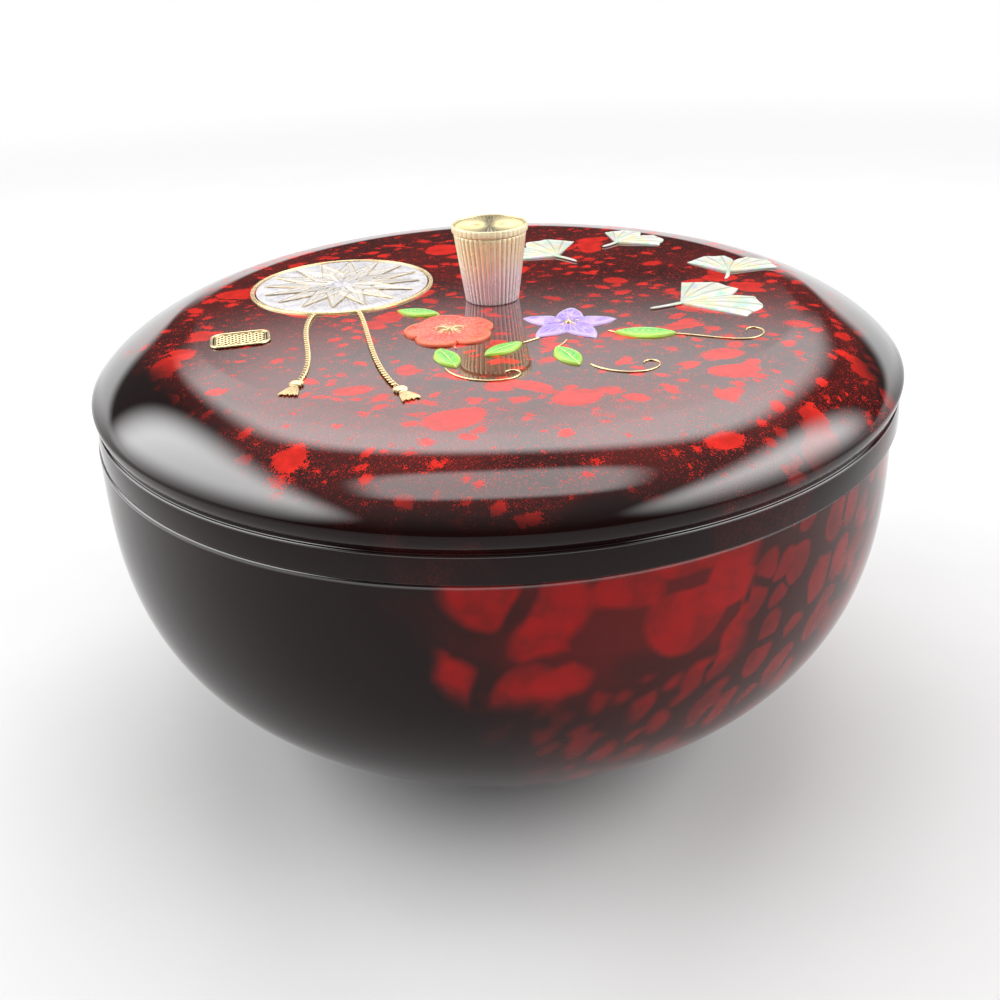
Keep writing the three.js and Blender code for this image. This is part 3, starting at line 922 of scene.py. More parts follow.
def bowl_outline():
    """The bowl from under its middle, out over its foot and wall to its mouth lip, and down its hollow."""
    foot_inner = foot_radius - foot_width
    lip_top = bowl_high.z
    soft, shoulder, lip = foot_edge_round, bowl_shoulder_round, mouth_lip_round
    return [
        (0, bowl_base_recess),
        (foot_inner - foot_recess_border, bowl_base_recess),
        *arc(foot_inner - soft, bowl_base_recess - soft, soft, 90, 0),
        *arc(foot_inner + soft, soft, soft, 180, 270),
        *arc(foot_radius - soft, soft, soft, -90, 0),
        (foot_radius, foot_height - 2 * soft),
        *bowl_side(),
        *arc(bowl_radius - shoulder, seam_height - shoulder, shoulder, 0, 90)[1:],
        (bowl_radius - 1.2 * shoulder, seam_height),
        (lip_outer + mouth_seat_border, seam_height),
        (lip_outer, seam_height),
        *arc(lip_outer - lip, lip_top - lip, lip, 0, 90),
        *arc(lip_inner + lip, lip_top - lip, lip, 90, 180),
        *bowl_hollow(),
    ]


def bowl():
    piece = turned("bowl_shell", bowl_outline(), lacquered_bowl)
    clear = 0.1 * mm

    def inside(radius, height):
        in_hollow = height > bowl_floor - clear and radius < lip_inner and hollow_at(radius, height)
        return height > seam_height - clear or in_hollow

    inside_faces(piece, plain_lacquer, inside)
    return settle(piece, "bowl", "lacquer_bowl", "bowl")


def hollow_at(radius, height):
    """Whether a point lies on the bowl's inner wall and not on its outer one."""
    share = (seam_height - height) / bowl_fall
    if share < 0:
        return True
    outer = swept_in(bowl_radius, min(share, 1), bowl_side_fullness, bowl_turn_fullness)
    return radius < outer - 2 * mm and height > bowl_base_recess + 2 * mm


def nose_curve(wide, flat, low, high, steps=56):
    power = 2 / nose_fullness
    curve = []
    for angle in shares(90, 0, steps):
        out = abs(sin(radians(angle))) ** power
        rise = abs(cos(radians(angle))) ** power
        curve.append((flat + (wide - flat) * out, low + (high - low) * rise))
    return curve


def top_height(radius):
    """The height of the lid's flat top, or of its nose further out."""
    share = min(1.0, max(0.0, (radius - flat_radius) / nose_width))
    return nose_low + (lid_top - nose_low) * (1 - share**nose_fullness) ** (1 / nose_fullness)


def eased_turn(steps=40):
    """The turn from the lid's flat top into its nose, eased so that its gloss has no line there."""
    curve = []
    for away in shares(turn_zone, -turn_zone, steps):
        window = turn_window * (1 - (away / turn_zone) ** 2) ** 2
        samples = [top_height(flat_radius + away + window * t) for t in shares(-1, 1, 20)]
        curve.append((flat_radius + away, sum(samples) / len(samples)))
    return curve


def lid_outside():
    """The lid's outline from its band's lower edge, over groove and nose, to its flat top."""
    top_radius = band_radius - band_top_inset
    groove_radius = top_radius - groove_depth
    lip, low_round = band_lip_round, band_edge_round
    undercurl = [
        (lid_radius + (groove_radius - lid_radius) * (1 - share) ** 2, band_top + share * nose_undercurl)
        for share in shares(0, 1, 18)[:-1]
    ]
    nose = nose_curve(lid_radius, flat_radius, nose_low, lid_top)
    return [
        *arc(band_radius - low_round, seam_height + low_round, low_round, -90, 0),
        *arc(top_radius - lip, band_top - groove_width - lip, lip, 0, 90, 4),
        (groove_radius + 0.1 * mm, band_top - groove_width),
        (groove_radius, band_top - 0.8 * groove_width),
        *undercurl,
        *[point for point in nose if point[0] > flat_radius + turn_zone],
        *eased_turn(),
        (flat_radius - turn_zone - 2 * mm, lid_top),
    ]


def lid():
    inner_flat = flat_radius - inner_flat_inset
    inside = nose_curve(band_inner, inner_flat, band_top + inner_rise, lid_underside, 40)
    outline = [
        (band_inner + band_edge_round, seam_height),
        *lid_outside(),
        (knob_hole_radius + sharp_border, lid_top),
        (knob_hole_radius, lid_top),
        (knob_hole_radius, lid_underside),
        (knob_hole_radius + sharp_border, lid_underside),
        (inner_flat - sharp_border, lid_underside),
        *inside[::-1],
        (band_inner, seam_height + band_edge_round),
    ]
    piece = turned("lid_shell", outline, lacquered_lid, close=True)

    def under(radius, height):
        return radius < band_inner + band_edge_round and height < top_height(radius) - 2 * mm

    inside_faces(piece, plain_lacquer, under)
    piece.location.x = lid_centre
    return settle(piece, "lid", "lacquer_lid", "lid")


# Knob

knob_neck = knob_height - knob_ring_height
knob_slope = (knob_neck_radius - knob_base_radius) / knob_neck
knob_ring_low = knob_neck + knob_edge_round * 0.5
knob_rim_inner = cap_radius + cap_seat_play


def knob_outline():
    """The knob from its bore, down and out round its foot, up its flutes and ring, and into its seat."""
    soft = knob_edge_round
    recess = cap_low.z - lid_top
    foot = [(z, 0.5 * rib_depth * (1 - z / soft) ** 2) for z in shares(0.02 * mm, soft, 4)]
    side = shares(soft, knob_neck - rib_head_length, 12)[1:-1]
    heads = [knob_neck - rib_head_length * (1 - sin(radians(a))) for a in shares(0, 90, 6)]
    return [
        (0, knob_bore_height),
        (knob_bore_radius, knob_bore_height),
        (knob_bore_radius, 0),
        (knob_base_radius - 2 * rib_depth, 0),
        *[(knob_base_radius + knob_slope * z - inset, z) for z, inset in foot],
        *[(knob_base_radius + knob_slope * z, z) for z in (*side, *heads)],
        *arc(knob_radius - soft, knob_ring_low + soft, soft, -90, 0, 5),
        *arc(knob_radius - soft, knob_height - soft, soft, 0, 90, 5),
        (knob_rim_inner + 0.1 * mm, knob_height),
        (knob_rim_inner, knob_height - 0.1 * mm),
        (knob_rim_inner, recess),
        (0, recess),
    ]


def ribbed(radius, height, angle):
    """The radius with its rib: round flutes that close in an arch under the ring, and a ribbed ring."""
    in_seat = radius < knob_rim_inner + 0.2 * mm and height > knob_ring_low
    if radius < knob_base_radius - rib_depth or in_seat:
        return radius
    across = (angle * rib_count / (2 * pi)) % 1 * 2 - 1
    round_rib = sqrt(max(0.0, 1 - (rib_arch * across) ** 2))
    if height > knob_ring_low - 1e-7:
        return radius - knob_ring_rib_share * rib_depth * (1 - round_rib)
    below = (knob_neck - height) / rib_head_length
    closing = sqrt(max(0.0, 1 - (1 - below) ** 2)) if below < 1 else 1.0
    return radius - rib_depth * (1 - round_rib * closing)


def knob():
    segments = rib_count * rib_steps
    piece = turned("knob_body", knob_outline(), champagne, segments, radius_at=ribbed, crease=50)
    piece.location = (lid_centre, 0, lid_top)
    return settle(piece, "lid", "champagne_metal", "knob")


def knob_cap():
    """Sunray disc: fine ridges that run out from a small hub, with painted shade between them and towards the
    middle.
    """
    thickness = cap_high.z - cap_low.z
    steps = cap_rays * cap_ray_steps

    def ridge_at(angle):
        return abs((angle * cap_rays / (2 * pi)) % 1 * 2 - 1)

    rows = [[Vector((0, 0, thickness - cap_hub_dip))]]
    for radius in [0.5 * cap_hub, cap_hub, *shares(cap_hub, cap_radius - cap_bevel_width, 10)[1:]]:
        share = max(0.0, (radius - cap_hub) / (cap_radius - cap_hub))
        middle = thickness - cap_dish * (1 - share**2)
        depth = cap_ray_depth * min(1.0, 3 * share)
        rows.append(circle(steps, lambda angle: radius, lambda angle: middle - depth * ridge_at(angle)))
    rows += turned_rows([(cap_radius, thickness - cap_bevel_height), (cap_radius, 0), (0, 0)], steps)
    piece = build("sunray_cap", *skin(rows), sunray, crease=80)

    # Painted shade between the rays and towards the middle of the disc, stored on its points.
    def painted_shade_between_rays(point):
        reach, angle = polar(point)
        middle = max(0.0, 1 - reach / (0.6 * cap_radius))
        return min(1.0, 0.9 * ridge_at(angle) + 0.25 * middle)

    keep_value(piece, "painted_groove_shade", painted_shade_between_rays)
    piece.location = (lid_centre, 0, cap_low.z)
    return settle(piece, "lid", "sunray_metal", "knob_cap")


def cut_cross(piece):
    """Cuts the cross slot into the screw's head, with one cross-shaped prism."""
    half_length, half_width = slot_length / 2, slot_width / 2
    corners = [(half_length, half_width), (half_width, half_width), (half_width, half_length)]
    spins = [Matrix.Rotation(radians(quarter), 3, "Z") for quarter in (0, 90, 180, 270)]
    ends = []
    for z in (-slot_depth, slot_depth):
        ends.append([spin @ Vector((x, y, z)) for spin in spins for x, y in corners])
    points, faces = skin(ends)
    count = len(ends[0])
    faces += [tuple(range(count)), tuple(range(count, 2 * count))]
    cutter = build("cutter", points, faces, steel)
    cutter.location = (lid_centre, 0, screw_low.z)
    cut = piece.modifiers.new("cross slot", "BOOLEAN")
    cut.object = cutter
    cut.solver = "EXACT"
    bpy.context.view_layer.update()
    shown = piece.evaluated_get(bpy.context.evaluated_depsgraph_get())
    cut_mesh = bpy.data.meshes.new_from_object(shown)
    piece.modifiers.clear()
    piece.data = cut_mesh
    bpy.data.objects.remove(cutter)


def screw():
    """Pan-head screw with a cross slot, under the lid."""
    head_radius = (screw_high.y - screw_low.y) / 2
    head_top = washer_low.z
    outline = [
        (0, screw_low.z),
        *arc(head_radius - screw_head_round, screw_low.z + screw_head_round, screw_head_round, -90, 0),
        (head_radius, head_top - screw_head_bevel),
        (head_radius - screw_head_bevel, head_top),
        (shank_radius, head_top),
        (shank_radius, screw_high.z - shank_bevel),
        (shank_radius - shank_bevel, screw_high.z),
        (0, screw_high.z),
    ]
    piece = turned("pan_screw", outline, steel, segments=64)
    piece.location.x = lid_centre
    cut_cross(piece)
    return settle(piece, "lid", "steel", "knob_screw")


def washer():
    outer = (washer_high.y - washer_low.y) / 2
    low, high, soft = washer_low.z, washer_high.z, washer_round
    outline = [
        (washer_bore + soft, low),
        *arc(outer - soft, low + soft, soft, -90, 0, 3),
        *arc(outer - soft, high - soft, soft, 0, 90, 3),
        *arc(washer_bore + soft, high - soft, soft, 90, 180, 3),
        (washer_bore, low + soft),
    ]
    piece = turned("plain_washer", outline, steel, segments=64, close=True)
    piece.location.x = lid_centre
    return settle(piece, "lid", "steel", "screw_washer")


def insert():
    """The threaded insert stays as packed, hidden in the knob's bore, and gets its brass."""
    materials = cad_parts["knob_insert"].data.materials
    materials.clear()
    materials.append(brass)


# Reliefs laid on the lid. Each is made about its own place, with its base on the lid's flat top.

def spot(place):
    return heading(place["bearing"]) * place["reach"] * flat_radius


def lay(piece, place, slot, *nodes):
    where = spot(place)
    piece.location = (lid_centre + where.x, where.y, lid_top)
    piece.rotation_euler.z = radians(place.get("turn", 0))
    return settle(piece, "lid", slot, *nodes)


def lay_in_place(piece, slot, *nodes):
    piece.location = (lid_centre, 0, lid_top)
    return settle(piece, "lid", slot, *nodes)


def relief(rows, wrap=True):
    """A closed low relief: the surface through the rows, and its flat underside on the lid."""
    points, faces = skin(rows, wrap)
    work = bmesh.new()
    corners = [work.verts.new(point) for point in points]
    for face in faces:
        work.faces.new([corners[i] for i in face])
    grown = bmesh.ops.extrude_face_region(work, geom=work.faces[:], use_keep_orig=True)
    for item in grown["geom"]:
        if isinstance(item, bmesh.types.BMVert):
            item.co.z = 0
    work.verts.index_update()
    result = [v.co.copy() for v in work.verts], [tuple(v.index for v in f.verts) for f in work.faces]
    work.free()
    return result


def polar_rows(radius_at, height_at, rings, spokes, angles=(0, 360)):
    """Rings of a relief about its middle. Heights depend on the share of the way out and the angle."""
    start, end = (radians(angle) for angle in angles)
    whole = angles == (0, 360)
    turns = [start + (end - start) * i / spokes for i in range(spokes if whole else spokes + 1)]
    rows = [[Vector((0, 0, height_at(0, turns[0])))]]
    for share in shares(0, 1, rings)[1:]:
        reaches = [share * radius_at(a) for a in turns]
        rows.append([
            Vector((reach * cos(a), reach * sin(a), height_at(share, a)))
            for reach, a in zip(reaches, turns)
        ])
    return rows


def edge_fall(share, width=0.06, depth=0.3 * mm):
    """The rounding of a relief near its rim."""
    return depth * max(0.0, (share - 1 + width) / width) ** 2


def strand(path, radius, sides=8, flat=1.0, taper=0.0, lift=0.0):
    """A tube along a nearly level path, with rounded ends. It narrows by the taper's share to its end."""
    rows = [[path[0] + up * lift]]
    last = len(path) - 1
    for i, point in enumerate(path):
        along = (path[min(i + 1, last)] - path[max(i - 1, 0)]).normalized()
        side = along.cross(up).normalized()
        size = radius * (1 - taper * i / last) * (0.6 if i in (0, last) else 1.0)
        rows.append([
            point + up * lift + side * size * cos(t) + up * size * flat * sin(t)
            for t in (2 * pi * k / sides for k in range(sides))
        ])
    rows.append([path[-1] + up * lift])
    return skin(rows)


def cubic(corners, steps=24):
    """Points along a cubic curve with four corners."""
    a, b, c, d = (Vector((*corner[:2], 0)) for corner in corners)
    return [
        a * (1 - t) ** 3 + b * 3 * t * (1 - t) ** 2 + c * 3 * t**2 * (1 - t) + d * t**3
        for t in shares(0, 1, steps)
    ]


def ball_ground(radius):
    """The ball's ground: a low disc of fine threads that run out from its middle."""

    def height(share, angle):
        thread = abs(cos(ball_ground_threads * angle / 2))
        rise = ball_ground_thread_rise * thread * min(1.0, 3 * share)
        return inlay_thickness + rise - edge_fall(share, 0.04)

    rows = polar_rows(lambda angle: radius, height, 20, ball_ground_threads * 6)
    disc = build("thread_ball", *relief(rows), silver_thread)
    keep_value(disc, "reach", lambda point: 0.25 * polar(point)[0] / radius)
    lay(disc, ball_place, "silver_foil", "silver_ball_inlay")


def ball_round(inner, outer, half, lift):
    """One thread that goes in and out round the ball from spoke to spoke, as straight strands."""
    corners = []
    for spoke in range(ball_spokes + 1):
        far = (spoke + half) % 2 == 0
        corners.append(heading(360 * spoke / ball_spokes) * (outer if far else inner))
    paths = [[here.lerp(there, t) for t in shares(0, 1, 3)] for here, there in zip(corners, corners[1:])]
    return [strand(path, ball_thread_radius, 6, flat=0.7, lift=lift) for path in paths]


def ball_weave(radius):
    """The woven flower on the ball, in silver-white rounds with two gilt ones."""
    white, gilt = [], []
    for layer in range(ball_rounds):
        ends = zip(ball_first_round, ball_round_step)
        inner, outer = (radius * (first + step * layer) for first, step in ends)
        for half in (0, 1):
            lift = inlay_thickness + ball_round_lie + ball_round_rise * (2 * layer + half)
            target = gilt if layer in ball_gilt_rounds else white
            target.extend(ball_round(inner, outer, half, lift))
    woven = build("ball_flower_threads", *merged(white), silver_thread)
    keep_value(woven, "reach", lambda point: 1.0)
    lay(woven, ball_place, "silver_foil")
    lay(build("ball_gold_threads", *merged(gilt), gold_leaf), ball_place, "gold_foil")


def ball_edge():
    """Gold rim with fine slanting beads."""
    half = ball_rim_width / 2
    rows = []
    for share in shares(0, 1, 8):
        reach = ball_radius - half + half * cos(pi * share)
        rise = ball_rim_rise * sin(pi * share) ** 0.7

        def height(angle):
            notch = 0.08 * abs(cos(ball_rim_beads * angle / 2 + 1.6 * share))
            return max(0.0, rise - notch * rise)

        rows.append(circle(ball_rim_beads * 6, lambda angle: reach, height))
    rim = build("ball_rim", *skin(rows, close=True), gold_leaf)
    lay(rim, ball_place, "gold_foil", "ball_gold_rim")


def ball():
    """Thread-wound ball, seen as a low disc: radial ground threads under a woven flower."""
    radius = ball_radius - ball_rim_width - inlay_gap
    ball_ground(radius)
    ball_weave(radius)
    ball_edge()


def cord_plies(middle, ply):
    """The two plies that wind about a cord's middle line, as paths."""
    last = len(middle) - 1
    gone = 0.0
    sides = ([], [])
    for i, point in enumerate(middle):
        along = (middle[min(i + 1, last)] - middle[max(i - 1, 0)]).normalized()
        across = along.cross(up)
        if i:
            gone += (point - middle[i - 1]).length
        turn = 2 * pi * gone / cord_pitch
        for sign, side in zip((1, -1), sides):
            offset = across * cos(turn) * sign * ply + up * sin(turn) * sign * 0.55 * ply
            side.append(point + offset + up * cord_axis_height)
    return sides


def gold_cord(run):
    """A two-ply cord that lies in a sway from the ball to its tassel, with painted shade between its plies.
    """
    outward, arrive = heading(run["leaves"]), heading(run["hangs"]["turn"])
    start = spot(ball_place) + outward * (ball_radius + inlay_gap)
    end = spot(run["hangs"]) - arrive * inlay_gap
    middle = cubic((start, start + outward * cord_sway, end - arrive * cord_sway, end), 300)
    ply = cord_width / 4
    strands = [strand(side, ply * 0.95, 8, flat=0.8) for side in cord_plies(middle, ply)]
    cord = build(run["name"] + "_twist", *merged(strands), gold_leaf)
    axis = KDTree(len(middle))
    for i, point in enumerate(middle):
        axis.insert(point + up * cord_axis_height, i)
    axis.balance()

    # Painted shade in the valley between the two plies, stored on the points.
    def painted_shade_between_plies(point):
        return max(0.0, min(1.0, (1.36 * ply - axis.find(point)[2]) / (0.4 * ply)))

    keep_value(cord, "painted_groove_shade", painted_shade_between_plies)
    lay_in_place(cord, "gold_foil", run["name"])


def tassel_head(head):
    """Three wound rings, widest in the middle, and a bound neck."""
    half_widest, half_neck = 0.36 * tassel_width, 0.2 * tassel_width
    ring_radius, neck_radius = 0.24 * head, 0.28 * mm
    parts = []
    for share in (0.2, 0.5, 0.8):
        half = half_widest * sin(pi * (0.25 + 0.55 * share))
        path = [Vector((head * share, y * half, 0)) for y in (-1, -0.5, 0, 0.5, 1)]
        parts.append(strand(path, ring_radius, 8, flat=0.9, lift=0.42 * mm))
    neck = [Vector((head * 1.12, y * half_neck, 0)) for y in (-1, 0, 1)]
    parts.append(strand(neck, neck_radius, 8, lift=0.4 * mm))
    return parts


def tassel(name, place):
    """Knot, bound neck and a spread of threads."""
    head = tassel_length * tassel_head_share
    start = head * 1.1
    thread_radius, thread_lifts = 0.24 * mm, (0.3 * mm, 0.36 * mm)
    parts = tassel_head(head)
    for i in range(tassel_threads):
        lean = 2 * i / (tassel_threads - 1) - 1
        length = tassel_length * (1 - 0.03 * (i % 3)) - start
        path = [
            Vector((start + length * t, lean * tassel_width * (0.16 + 0.32 * t**0.8), 0))
            for t in shares(0, 1, 6)
        ]
        parts.append(strand(path, thread_radius, 6, flat=1.1, lift=thread_lifts[i % 2]))
    lay(build(name + "_threads", *merged(parts), gold_leaf), place, "gold_foil", name)


def stamen(way, inner, reach, head):
    """A fine raised thread with a round head at its tip."""
    level = inlay_thickness + 0.2 * mm
    arch, thread_radius = 0.25 * mm, 0.11 * mm
    path = [
        way * (inner + (reach - inner) * t) + up * arch * sin(pi * t)
        for t in shares(0, 1, 6)
    ]
    tip = way * reach + up * level
    dome = [[tip + up * head]]
    for a in (60, 30, 0, -40):
        size, rise = head * cos(radians(a)), head * sin(radians(a))
        dome.append([tip + heading(b) * size + up * rise for b in range(0, 360, 45)])
    dome.append([tip - up * head])
    return [strand(path, thread_radius, 6, lift=level), skin(dome)]


def flower_heart(name, place, count, inner, outer, head):
    """Gold stamens, long and short in turn, about a small raised boss."""
    parts = []
    for i in range(count):
        reach = outer * (1 if i % 2 else 0.78)
        parts.extend(stamen(heading(360 * i / count + 6), inner, reach, head))
    base, boss_rise = 0.2 * mm, 0.75 * mm
    boss = [[Vector((0, 0, inlay_thickness + boss_rise))]]
    for share in (0.35, 0.7, 0.92, 1.0):
        level = inlay_thickness + boss_rise * sqrt(1 - share**2) if share < 1 else base
        boss.append([heading(b) * inner * share + up * level for b in range(0, 360, 15)])
    boss.append([Vector((0, 0, base))])
    parts.append(skin(boss))
    lay(build(name, *merged(parts), gold_leaf), place, "gold_foil")


def flower(name, radius_at, height_at, vein_at, material):
    """A relief about its middle that keeps how far out each point lies, and its veins."""
    piece = build(name, *relief(polar_rows(radius_at, height_at, petal_rings, petal_spokes)), material)

    def share_out(point):
        reach, angle = polar(point)
        return reach / radius_at(angle)

    keep_value(piece, "reach", share_out)
    keep_value(piece, "vein", lambda point: vein_at(share_out(point), polar(point)[1]))
    return piece


def bellflower():
    """Five pointed petals, each with a crease along its middle and a turned-up rim."""
    crease_depth, valley_depth, heart_depth = 0.16 * mm, 0.3 * mm, 0.25 * mm

    def petal_turn(angle):
        return (angle * petal_count / (2 * pi)) % 1

    def to_tip(angle):
        return abs(petal_turn(angle) - 0.5) * 2

    def radius_at(angle):
        return bellflower_radius * (0.5 + 0.5 * to_tip(angle) ** 1.3)

    def height(share, angle):
        tip = to_tip(angle)
        dome = petal_swell * sin(pi * min(1.0, share * 0.9 + 0.08)) * (0.35 + 0.65 * tip**0.6)
        crease = crease_depth * max(0.0, 1 - abs(1 - tip) * 9) * share
        valley = valley_depth * max(0.0, 1 - tip * 5) * (0.3 + share)
        heart = heart_depth * exp(-((share / 0.2) ** 2))
        return inlay_thickness + dome - crease - valley - heart - edge_fall(share)

    def vein(share, angle):
        fan = abs(sin(pi * 7 * petal_turn(angle))) ** 8
        return 0.8 * fan * min(1.0, 4 * share) * max(0.0, min(1.0, 4 * (1 - share)))

    piece = flower("bellflower_petals", radius_at, height, vein, purple)
    lay(piece, bellflower_place, "purple_shell", "bellflower_inlay")
    flower_heart("bellflower_heart", bellflower_place, 5, 0.9 * mm, 3.2 * mm, 0.34 * mm)


def plum():
    """Five round petals that lap over each other."""
    petal_reach, petal_size = 0.56 * plum_radius, 0.5 * plum_radius
    lap_rise, heart_depth = 0.16 * mm, 0.3 * mm

    def radius_at(angle):
        return plum_radius * (0.8 + 0.2 * sqrt(abs(cos(petal_count * angle / 2))))

    def height(share, angle):
        point = Vector((cos(angle), sin(angle), 0)) * share * radius_at(angle)
        best = 0.0
        for i in range(petal_count):
            away = (point - heading(360 * i / petal_count) * petal_reach).length / petal_size
            lap = sin(angle - 2 * pi * i / petal_count)
            cup = sqrt(max(0.0, 1 - away**2 * 0.8))
            best = max(best, petal_swell * cup + lap_rise * lap * share)
        heart = heart_depth * exp(-((share / 0.2) ** 2))
        return inlay_thickness + best - heart - edge_fall(share)

    def vein(share, angle):
        fan = abs(sin(petal_count * 4.5 * angle)) ** 10
        return 0.7 * fan * min(1.0, 4 * share) if share < 0.8 else 0

    piece = flower("plum_petals", radius_at, height, vein, coral)
    lay(piece, plum_place, "coral_shell", "plum_inlay")
    flower_heart("plum_heart", plum_place, 20, 0.8 * mm, 4.4 * mm, 0.27 * mm)


def leaf_rows(length, bulge, half_width):
    """Lanes of points across a pointed leaf, domed, with a sunk midrib and a faint ripple."""
    midrib_depth, midrib_width, ripple_height = 0.26 * mm, 0.32 * mm, 0.05 * mm
    rows = []
    for along in shares(-1, 1, green_leaf_steps):
        x = length / 2 * sin(along * pi / 2)
        width = half_width(x)
        if width < 1e-6:
            rows.append([Vector((x, 0, inlay_thickness * 0.6))])
            continue
        row = []
        for side in shares(-1, 1, green_leaf_lanes):
            belly = petal_swell * (1 - abs(side) ** 2.2) * (width / bulge) ** 0.5
            midrib = midrib_depth * exp(-((side * width / midrib_width) ** 2))
            wave = cos((x / length * 11 - abs(side) * 1.1) * 2 * pi)
            ripple = ripple_height * wave * (1 - abs(side))
            height = inlay_thickness + belly - midrib + ripple - edge_fall(abs(side), 0.12)
            row.append(Vector((x, side * width, height)))
        rows.append(row)
    return rows


def green_leaf(name, node, place):
    """Pointed leaf with a sunk midrib, side veins and a raised light edge."""
    length = green_leaf_length * place["scale"]
    bulge = length * 0.23

    def half_width(x):
        return bulge * (1 - (2 * x / length) ** 2)

    def vein(point):
        away = abs(point.y)
        rib = exp(-((away / (0.2 * mm)) ** 2))
        side = 0.75 * abs(sin(pi * (point.x / length * 9 - away / bulge * 1.3))) ** 14
        return max(rib, side if away < 0.8 * half_width(point.x) else 0)

    def share_out(point):
        return 0.6 + 0.4 * abs(point.y) / max(half_width(point.x), 0.3 * mm)

    leaf = build(name, *relief(leaf_rows(length, bulge, half_width), wrap=False), green)
    keep_value(leaf, "reach", share_out)
    keep_value(leaf, "vein", vein)
    lay(leaf, place, "green_shell", node)


def ginkgo_edge(angle):
    """How far the fan reaches at an angle, as a share of its size: wavy, with a notch in its middle."""
    share = max(-1.0, min(1.0, angle / ginkgo_half))
    notch = ginkgo_notch * max(0.0, 1 - abs(share) * 5)
    return 1 - 0.1 * share * share - notch + 0.03 * cos(11 * share)


def ginkgo_height(share, angle):
    """The fan's height: swollen, ribbed out from its foot and split along its middle."""
    swell_height, rib_height, split_depth = 0.5 * mm, 0.07 * mm, 0.25 * mm
    side = abs(angle) / ginkgo_half
    across = sin(pi * min(1.0, side * 0.9 + 0.08))
    along = sin(pi * min(1.0, 0.9 * share + 0.1))
    ribs = rib_height * cos(ginkgo_ribs * angle / ginkgo_half) * min(1.0, 2 * share)
    split = split_depth * exp(-((angle / 0.05) ** 2)) * share
    rim = edge_fall(max(share, 1 - (1 - side) * 1.2), 0.05, 0.28 * mm)
    return inlay_thickness + swell_height * across * along + ribs - split - rim


def ginkgo_leaf(name, node, place):
    """Fan-shaped leaf in shell, ribbed out from its stem, with a notch in its wavy edge."""
    size = pearl_leaf_length * place["scale"]
    spread = ginkgo_spread / 2

    def radius_at(angle):
        return size * ginkgo_edge(angle)

    def share_out(point):
        reach, angle = polar(point)
        return reach / radius_at(angle) if point.x > 0 else 0.8

    def vein(point):
        return abs(cos(ginkgo_ribs / 2 * polar(point)[1] / ginkgo_half)) ** 12 if point.x > 0 else 0

    rows = polar_rows(radius_at, ginkgo_height, ginkgo_rings, ginkgo_spokes, (-spread, spread))
    fan = relief(rows, wrap=False)
    stem_path = [Vector((x * size, 0.35 * mm * sin(6 * x), 0)) for x in shares(0.06, -0.42, 10)]
    stem = strand(stem_path, 0.62 * mm, 8, flat=0.6, taper=0.25, lift=0.36 * mm)
    leaf = build(name, *merged([fan, stem]), pearl)
    keep_value(leaf, "reach", share_out)
    keep_value(leaf, "vein", vein)
    lay(leaf, place, "pearl_shell", node)


def rounded_box(inset):
    """Points round the tablet's outline, inset by that length."""
    points = []
    length, width, corner = tablet_length - 2 * inset, tablet_width - 2 * inset, tablet_corner - inset
    for quarter, (x, y) in enumerate(((1, 1), (-1, 1), (-1, -1), (1, -1))):
        for angle in shares(90 * quarter, 90 * quarter + 90, 8):
            middle = Vector((x * (length / 2 - corner), y * (width / 2 - corner), 0))
            points.append(middle + heading(angle) * corner)
    return points


def frame_wire(inset, size):
    """A raised wire that runs round the tablet."""
    sides, flat, lift = 8, 0.8, 0.3 * mm
    loop = rounded_box(inset)
    path = []
    for here, there in zip(loop, loop[1:] + loop[:1]):
        path.extend(here.lerp(there, t) for t in (0, 0.5))
    rings = []
    for point in path:
        out = Vector((point.x / tablet_length, point.y / tablet_width, 0)).normalized()
        rings.append([
            point + up * lift + out * size * cos(t) + up * size * flat * sin(t)
            for t in (2 * pi * k / sides for k in range(sides))
        ])
    return skin(rings, close=True)


def lattice():
    """Two sets of slanting wires that fill the tablet within its border."""
    reach_x, reach_y = tablet_length / 2 - lattice_border, tablet_width / 2 - lattice_border
    shortest_wire = 0.6 * mm
    parts = []
    for slant in (1, -1):
        for i in range(1, int(2 * (reach_x + reach_y) / lattice_pitch)):
            offset = -(reach_x + reach_y) + i * lattice_pitch
            low_x = max(-reach_x, offset - reach_y)
            high_x = min(reach_x, offset + reach_y)
            if high_x - low_x >= shortest_wire:
                path = [Vector((x, slant * (offset - x), 0)) for x in shares(low_x, high_x, 4)]
                parts.append(strand(path, lattice_wire, 6, lift=lattice_height))
    return parts


def tablet():
    """Small plaque: a gold frame and a plain diamond lattice on a dark ground."""
    middle, edge = 0.36 * mm, 0.3 * mm
    rows = [[Vector((0, 0, middle))]]
    for share, height in ((0.5, middle), (0.9, middle), (0.985, edge), (1.0, edge)):
        rows.append([point * share + up * height for point in rounded_box(0)])
    plate = build("tablet_ground", *relief(rows), plain_lacquer)
    lay(plate, tablet_place, "lacquer_lid", "gold_tablet")
    thick_frame, thin_frame = frame_wire(0.45 * mm, 0.4 * mm), frame_wire(1.3 * mm, 0.16 * mm)
    wires = [thick_frame, thin_frame, *lattice()]
    lay(build("tablet_lattice", *merged(wires), gold_leaf), tablet_place, "gold_foil")


def stems():
    parts = []
    for corners in stem_runs:
        path = cubic([(x * mm, y * mm) for x, y in corners], 28)
        parts.append(strand(path, stem_radius, 8, flat=0.8, taper=0.25, lift=0.16 * mm))
    lay_in_place(build("gold_stems", *merged(parts), gold_leaf), "gold_foil")


# Studio and camera

